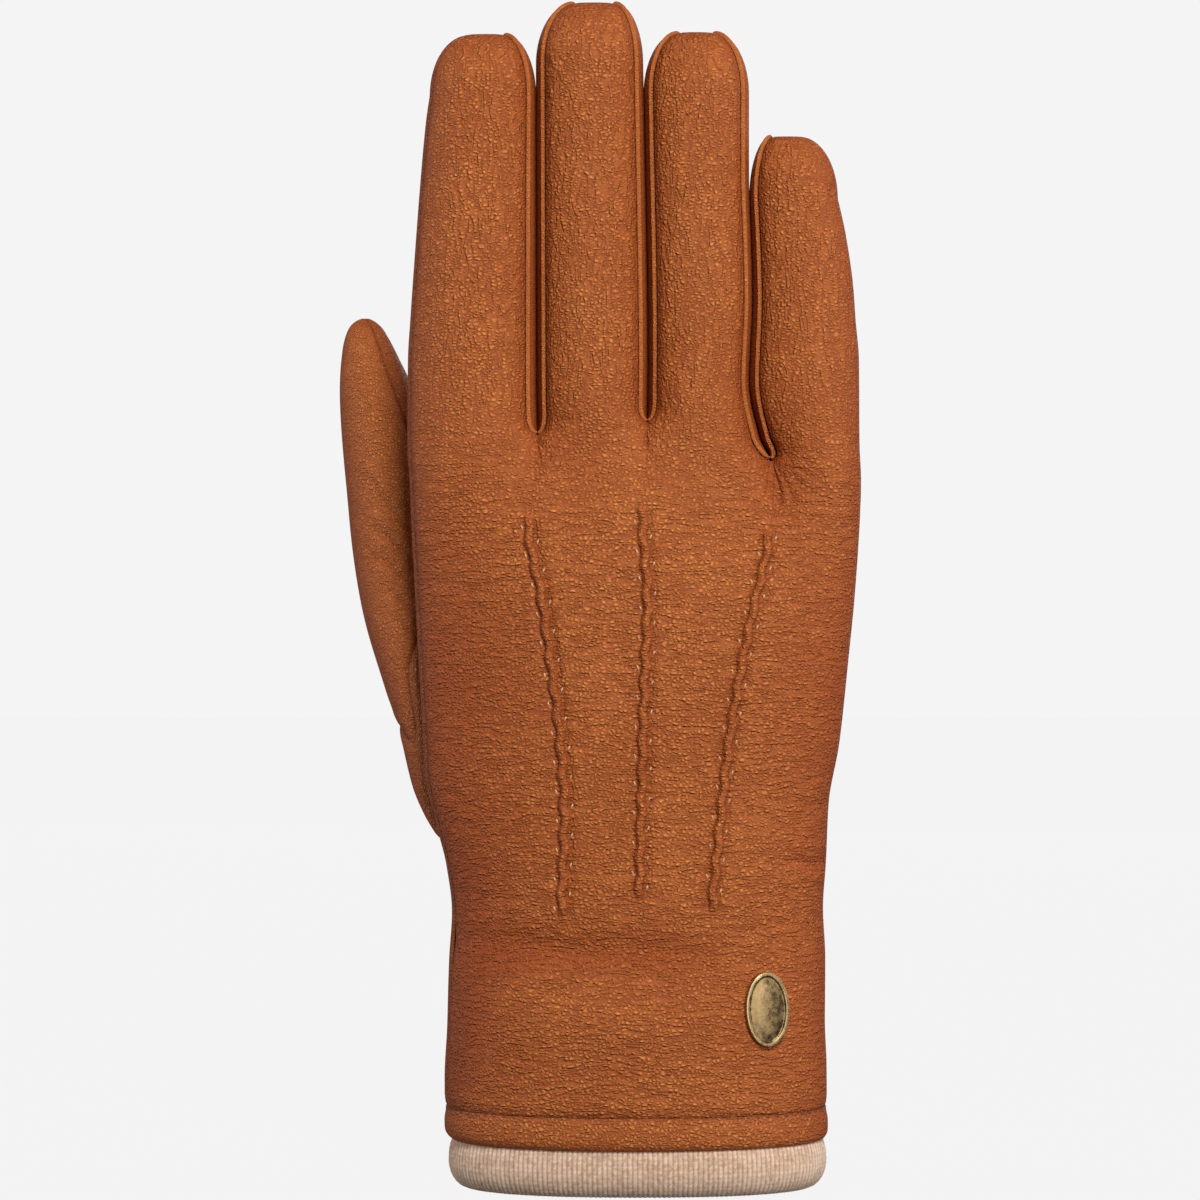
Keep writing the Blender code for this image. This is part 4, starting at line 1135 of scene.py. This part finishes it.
def makeBadge():
    # a plain oval of aged brass with a raised rim
    bpy.ops.object.select_all(action="DESELECT")
    bpy.ops.mesh.primitive_cylinder_add(vertices=72, radius=1, depth=badge["thick"] * mm, end_fill_type="NGON")
    plate = bpy.context.object
    plate.name = "badge"
    plate.scale = (badge["half"][0] * mm, badge["half"][1] * mm, 1)
    bpy.ops.object.transform_apply(location=False, rotation=False, scale=True)
    bpy.ops.object.mode_set(mode="EDIT")
    bpy.ops.mesh.select_all(action="DESELECT")
    bpy.ops.object.mode_set(mode="OBJECT")
    for face in plate.data.polygons:
        face.select = len(face.vertices) > 8 and face.normal.z > 0.99
    bpy.ops.object.mode_set(mode="EDIT")
    bpy.ops.mesh.select_mode(type="FACE")
    for inward, rise in badge["steps"]:
        bpy.ops.mesh.inset(thickness=inward * mm, depth=rise * mm)
    bpy.ops.object.mode_set(mode="OBJECT")
    softened = plate.modifiers.new("softened", "BEVEL")
    softened.width = 0.13 * mm
    softened.segments = 3
    softened.limit_method = "ANGLE"
    softened.angle_limit = math.radians(25)
    bpy.ops.object.modifier_apply(modifier="softened")
    bpy.ops.object.shade_smooth_by_angle(angle=math.radians(40))
    # it lies on the leather at its middle, and faces as the leather under it does on average
    spot = onBack(badge["across"], badge["height"])[0]
    under = [onBack(badge["across"] + dx, badge["height"] + dz)[1] for dx in (-4, 0, 4) for dz in (-6, 0, 6)]
    facing = Vector(np.mean(under, axis=0)).normalized()
    sideways = Vector((0, 0, 1)).cross(facing).normalized()
    turn = Matrix((sideways, facing.cross(sideways), facing)).transposed().to_4x4()
    plate.data.transform(Matrix.Translation((Vector(spot) + facing * badge["proud"]) * mm) @ turn)
    plate.data.materials.clear()
    plate.data.materials.append(looks["brass"])
    pieces["badge"] = plate


makeBadge()
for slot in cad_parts["badge_washer"].material_slots:
    slot.material = looks["brass"]
print("glove: badge made")


def bendPiece(piece, body):
    # bake a piece's placing into its mesh; the thumb and the fingers are treated alike
    if body == "thumb":
        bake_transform(piece)
        return
    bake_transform(piece)


stands = {
    "backPanel": ("hand", "cognac_leather",
                  ["back_panel", "back_point_left", "back_point_centre", "back_point_right"]),
    "palmPanel": ("hand", "cognac_leather", ["palm_panel"]),
    "cuffHem": ("hand", "cognac_leather", ["cuff_hem"]),
    "knitCuff": ("hand", "oatmeal_knit", ["lining_cuff"]),
    "handLining": ("hand", "oatmeal_knit", ["lining_hand"]),
    "elasticTape": ("hand", "elastic_tape", ["wrist_elastic"]),
    "badge": ("hand", "antique_brass", ["badge_plate"]),
    "pointStitches": ("hand", "stitched_points", []),
    "hemStitches": ("hand", "stitched_points", []),
    "indexTouch": ("index_finger", "touch_leather", ["touch_pad_index"]),
    "thumbTouch": ("thumb", "touch_leather", ["touch_pad_thumb"]),
    "thumbRoot": ("thumb*", "cognac_leather", ["thumb_root"]),
    "thumbInner": ("thumb*", "cognac_leather", ["thumb_inner"]),
    "thumbOuter": ("thumb*", "cognac_leather", ["thumb_outer"]),
    "thumbLining": ("thumb*", "oatmeal_knit", ["lining_thumb"]),
}
for i, finger in enumerate(fingers):
    body = finger + "_finger*"
    stands[finger + "Back"] = (body, "cognac_leather", [finger + "_back", finger + "_root"])
    stands[finger + "Palm"] = (body, "cognac_leather", [finger + "_palm"])
    stands[finger + "Lining"] = (body, "oatmeal_knit", ["lining_" + finger])
    for side in ("Left", "Right"):
        if finger + "Strip" + side in pieces:
            stands[finger + "Strip" + side] = (body, "leather_edge", [finger + "_fourchette_" + side.lower()])

for name, (body, slot, nodes) in stands.items():
    piece = pieces[name]
    if nodes:
        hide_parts(*nodes)
    if body.endswith("*"):
        bendPiece(piece, body[:-1])
    else:
        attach(piece, body)


studio = {
    "seen": 0.905,
    "lit": 0.16,
    "floorSeen": 0.893,
    "aim": (0, 0, 0.125),
    "lights": {     # place, size, power
        "key": ((0.22, -0.92, 0.92), 0.36, 15.4),
        "fill": ((0.60, -0.95, 0.20), 0.5, 5.5),
        "rimLeft": ((-0.9, 0.10, 0.25), 0.5, 4.0),
        "rimRight": ((0.9, 0.05, 0.3), 0.5, 2.5),
        "backFill": ((0.1, 1.1, 0.35), 0.9, 5.5),
    },
}


def paleFinish(name, seen, lit):
    # pale all over to the camera, softer as a light on the glove
    finish = bpy.data.materials.new(name)
    finish.use_nodes = True
    tree = finish.node_tree
    tree.nodes.clear()
    paths = addNode(tree, "LightPath")
    glow = addNode(tree, "Emission", {"Color": (1, 1, 1, 1)})
    tree.links.new(between(tree, paths.outputs["Is Camera Ray"], 0, 1, lit, seen), glow.inputs["Strength"])
    dull = addNode(tree, "BsdfDiffuse", {"Color": (0.003, 0.003, 0.003, 1)})
    both = addNode(tree, "AddShader", {0: glow.outputs[0], 1: dull.outputs[0]})
    result = addNode(tree, "OutputMaterial")
    tree.links.new(both.outputs[0], result.inputs["Surface"])
    return finish


world = bpy.data.worlds.new("studio")
bpy.context.scene.world = world
world.use_nodes = True
tree = world.node_tree
paths = addNode(tree, "LightPath")
sky = tree.nodes["Background"]
sky.inputs["Color"].default_value = (1, 1, 1, 1)
glow = between(tree, paths.outputs["Is Camera Ray"], 0, 1, studio["lit"], studio["seen"])
tree.links.new(glow, sky.inputs["Strength"])

bpy.ops.object.select_all(action="DESELECT")
bpy.ops.mesh.primitive_plane_add(size=6, location=(0, 0, 0))
floor = bpy.context.object
floor.name = "floor"
floor.data.transform(Matrix.Translation((0, 0, -0.0006)))
floor.data.materials.append(paleFinish("paleFloor", studio["floorSeen"], studio["lit"]))

for name, (place, size, power) in studio["lights"].items():
    light = bpy.data.objects.new(name, bpy.data.lights.new(name, "AREA"))
    light.data.size = size
    light.data.energy = power
    bpy.context.scene.collection.objects.link(light)
    light.location = place
    light.rotation_euler = (Vector(studio["aim"]) - Vector(place)).to_track_quat("-Z", "Y").to_euler()

bpy.context.scene.view_settings.view_transform = "Standard"
camera = bpy.data.objects.new("camera", bpy.data.cameras.new("camera"))
bpy.context.scene.collection.objects.link(camera)
camera.location = (view["across"] * mm, -view["away"] * mm, view["height"] * mm)
camera.rotation_euler = (quarter, 0, 0)
camera.data.sensor_width = 36
camera.data.lens = camera.data.sensor_width * view["away"] / view["width"]
camera.data.clip_start = 0.01
bpy.context.scene.camera = camera

print("glove: ready")
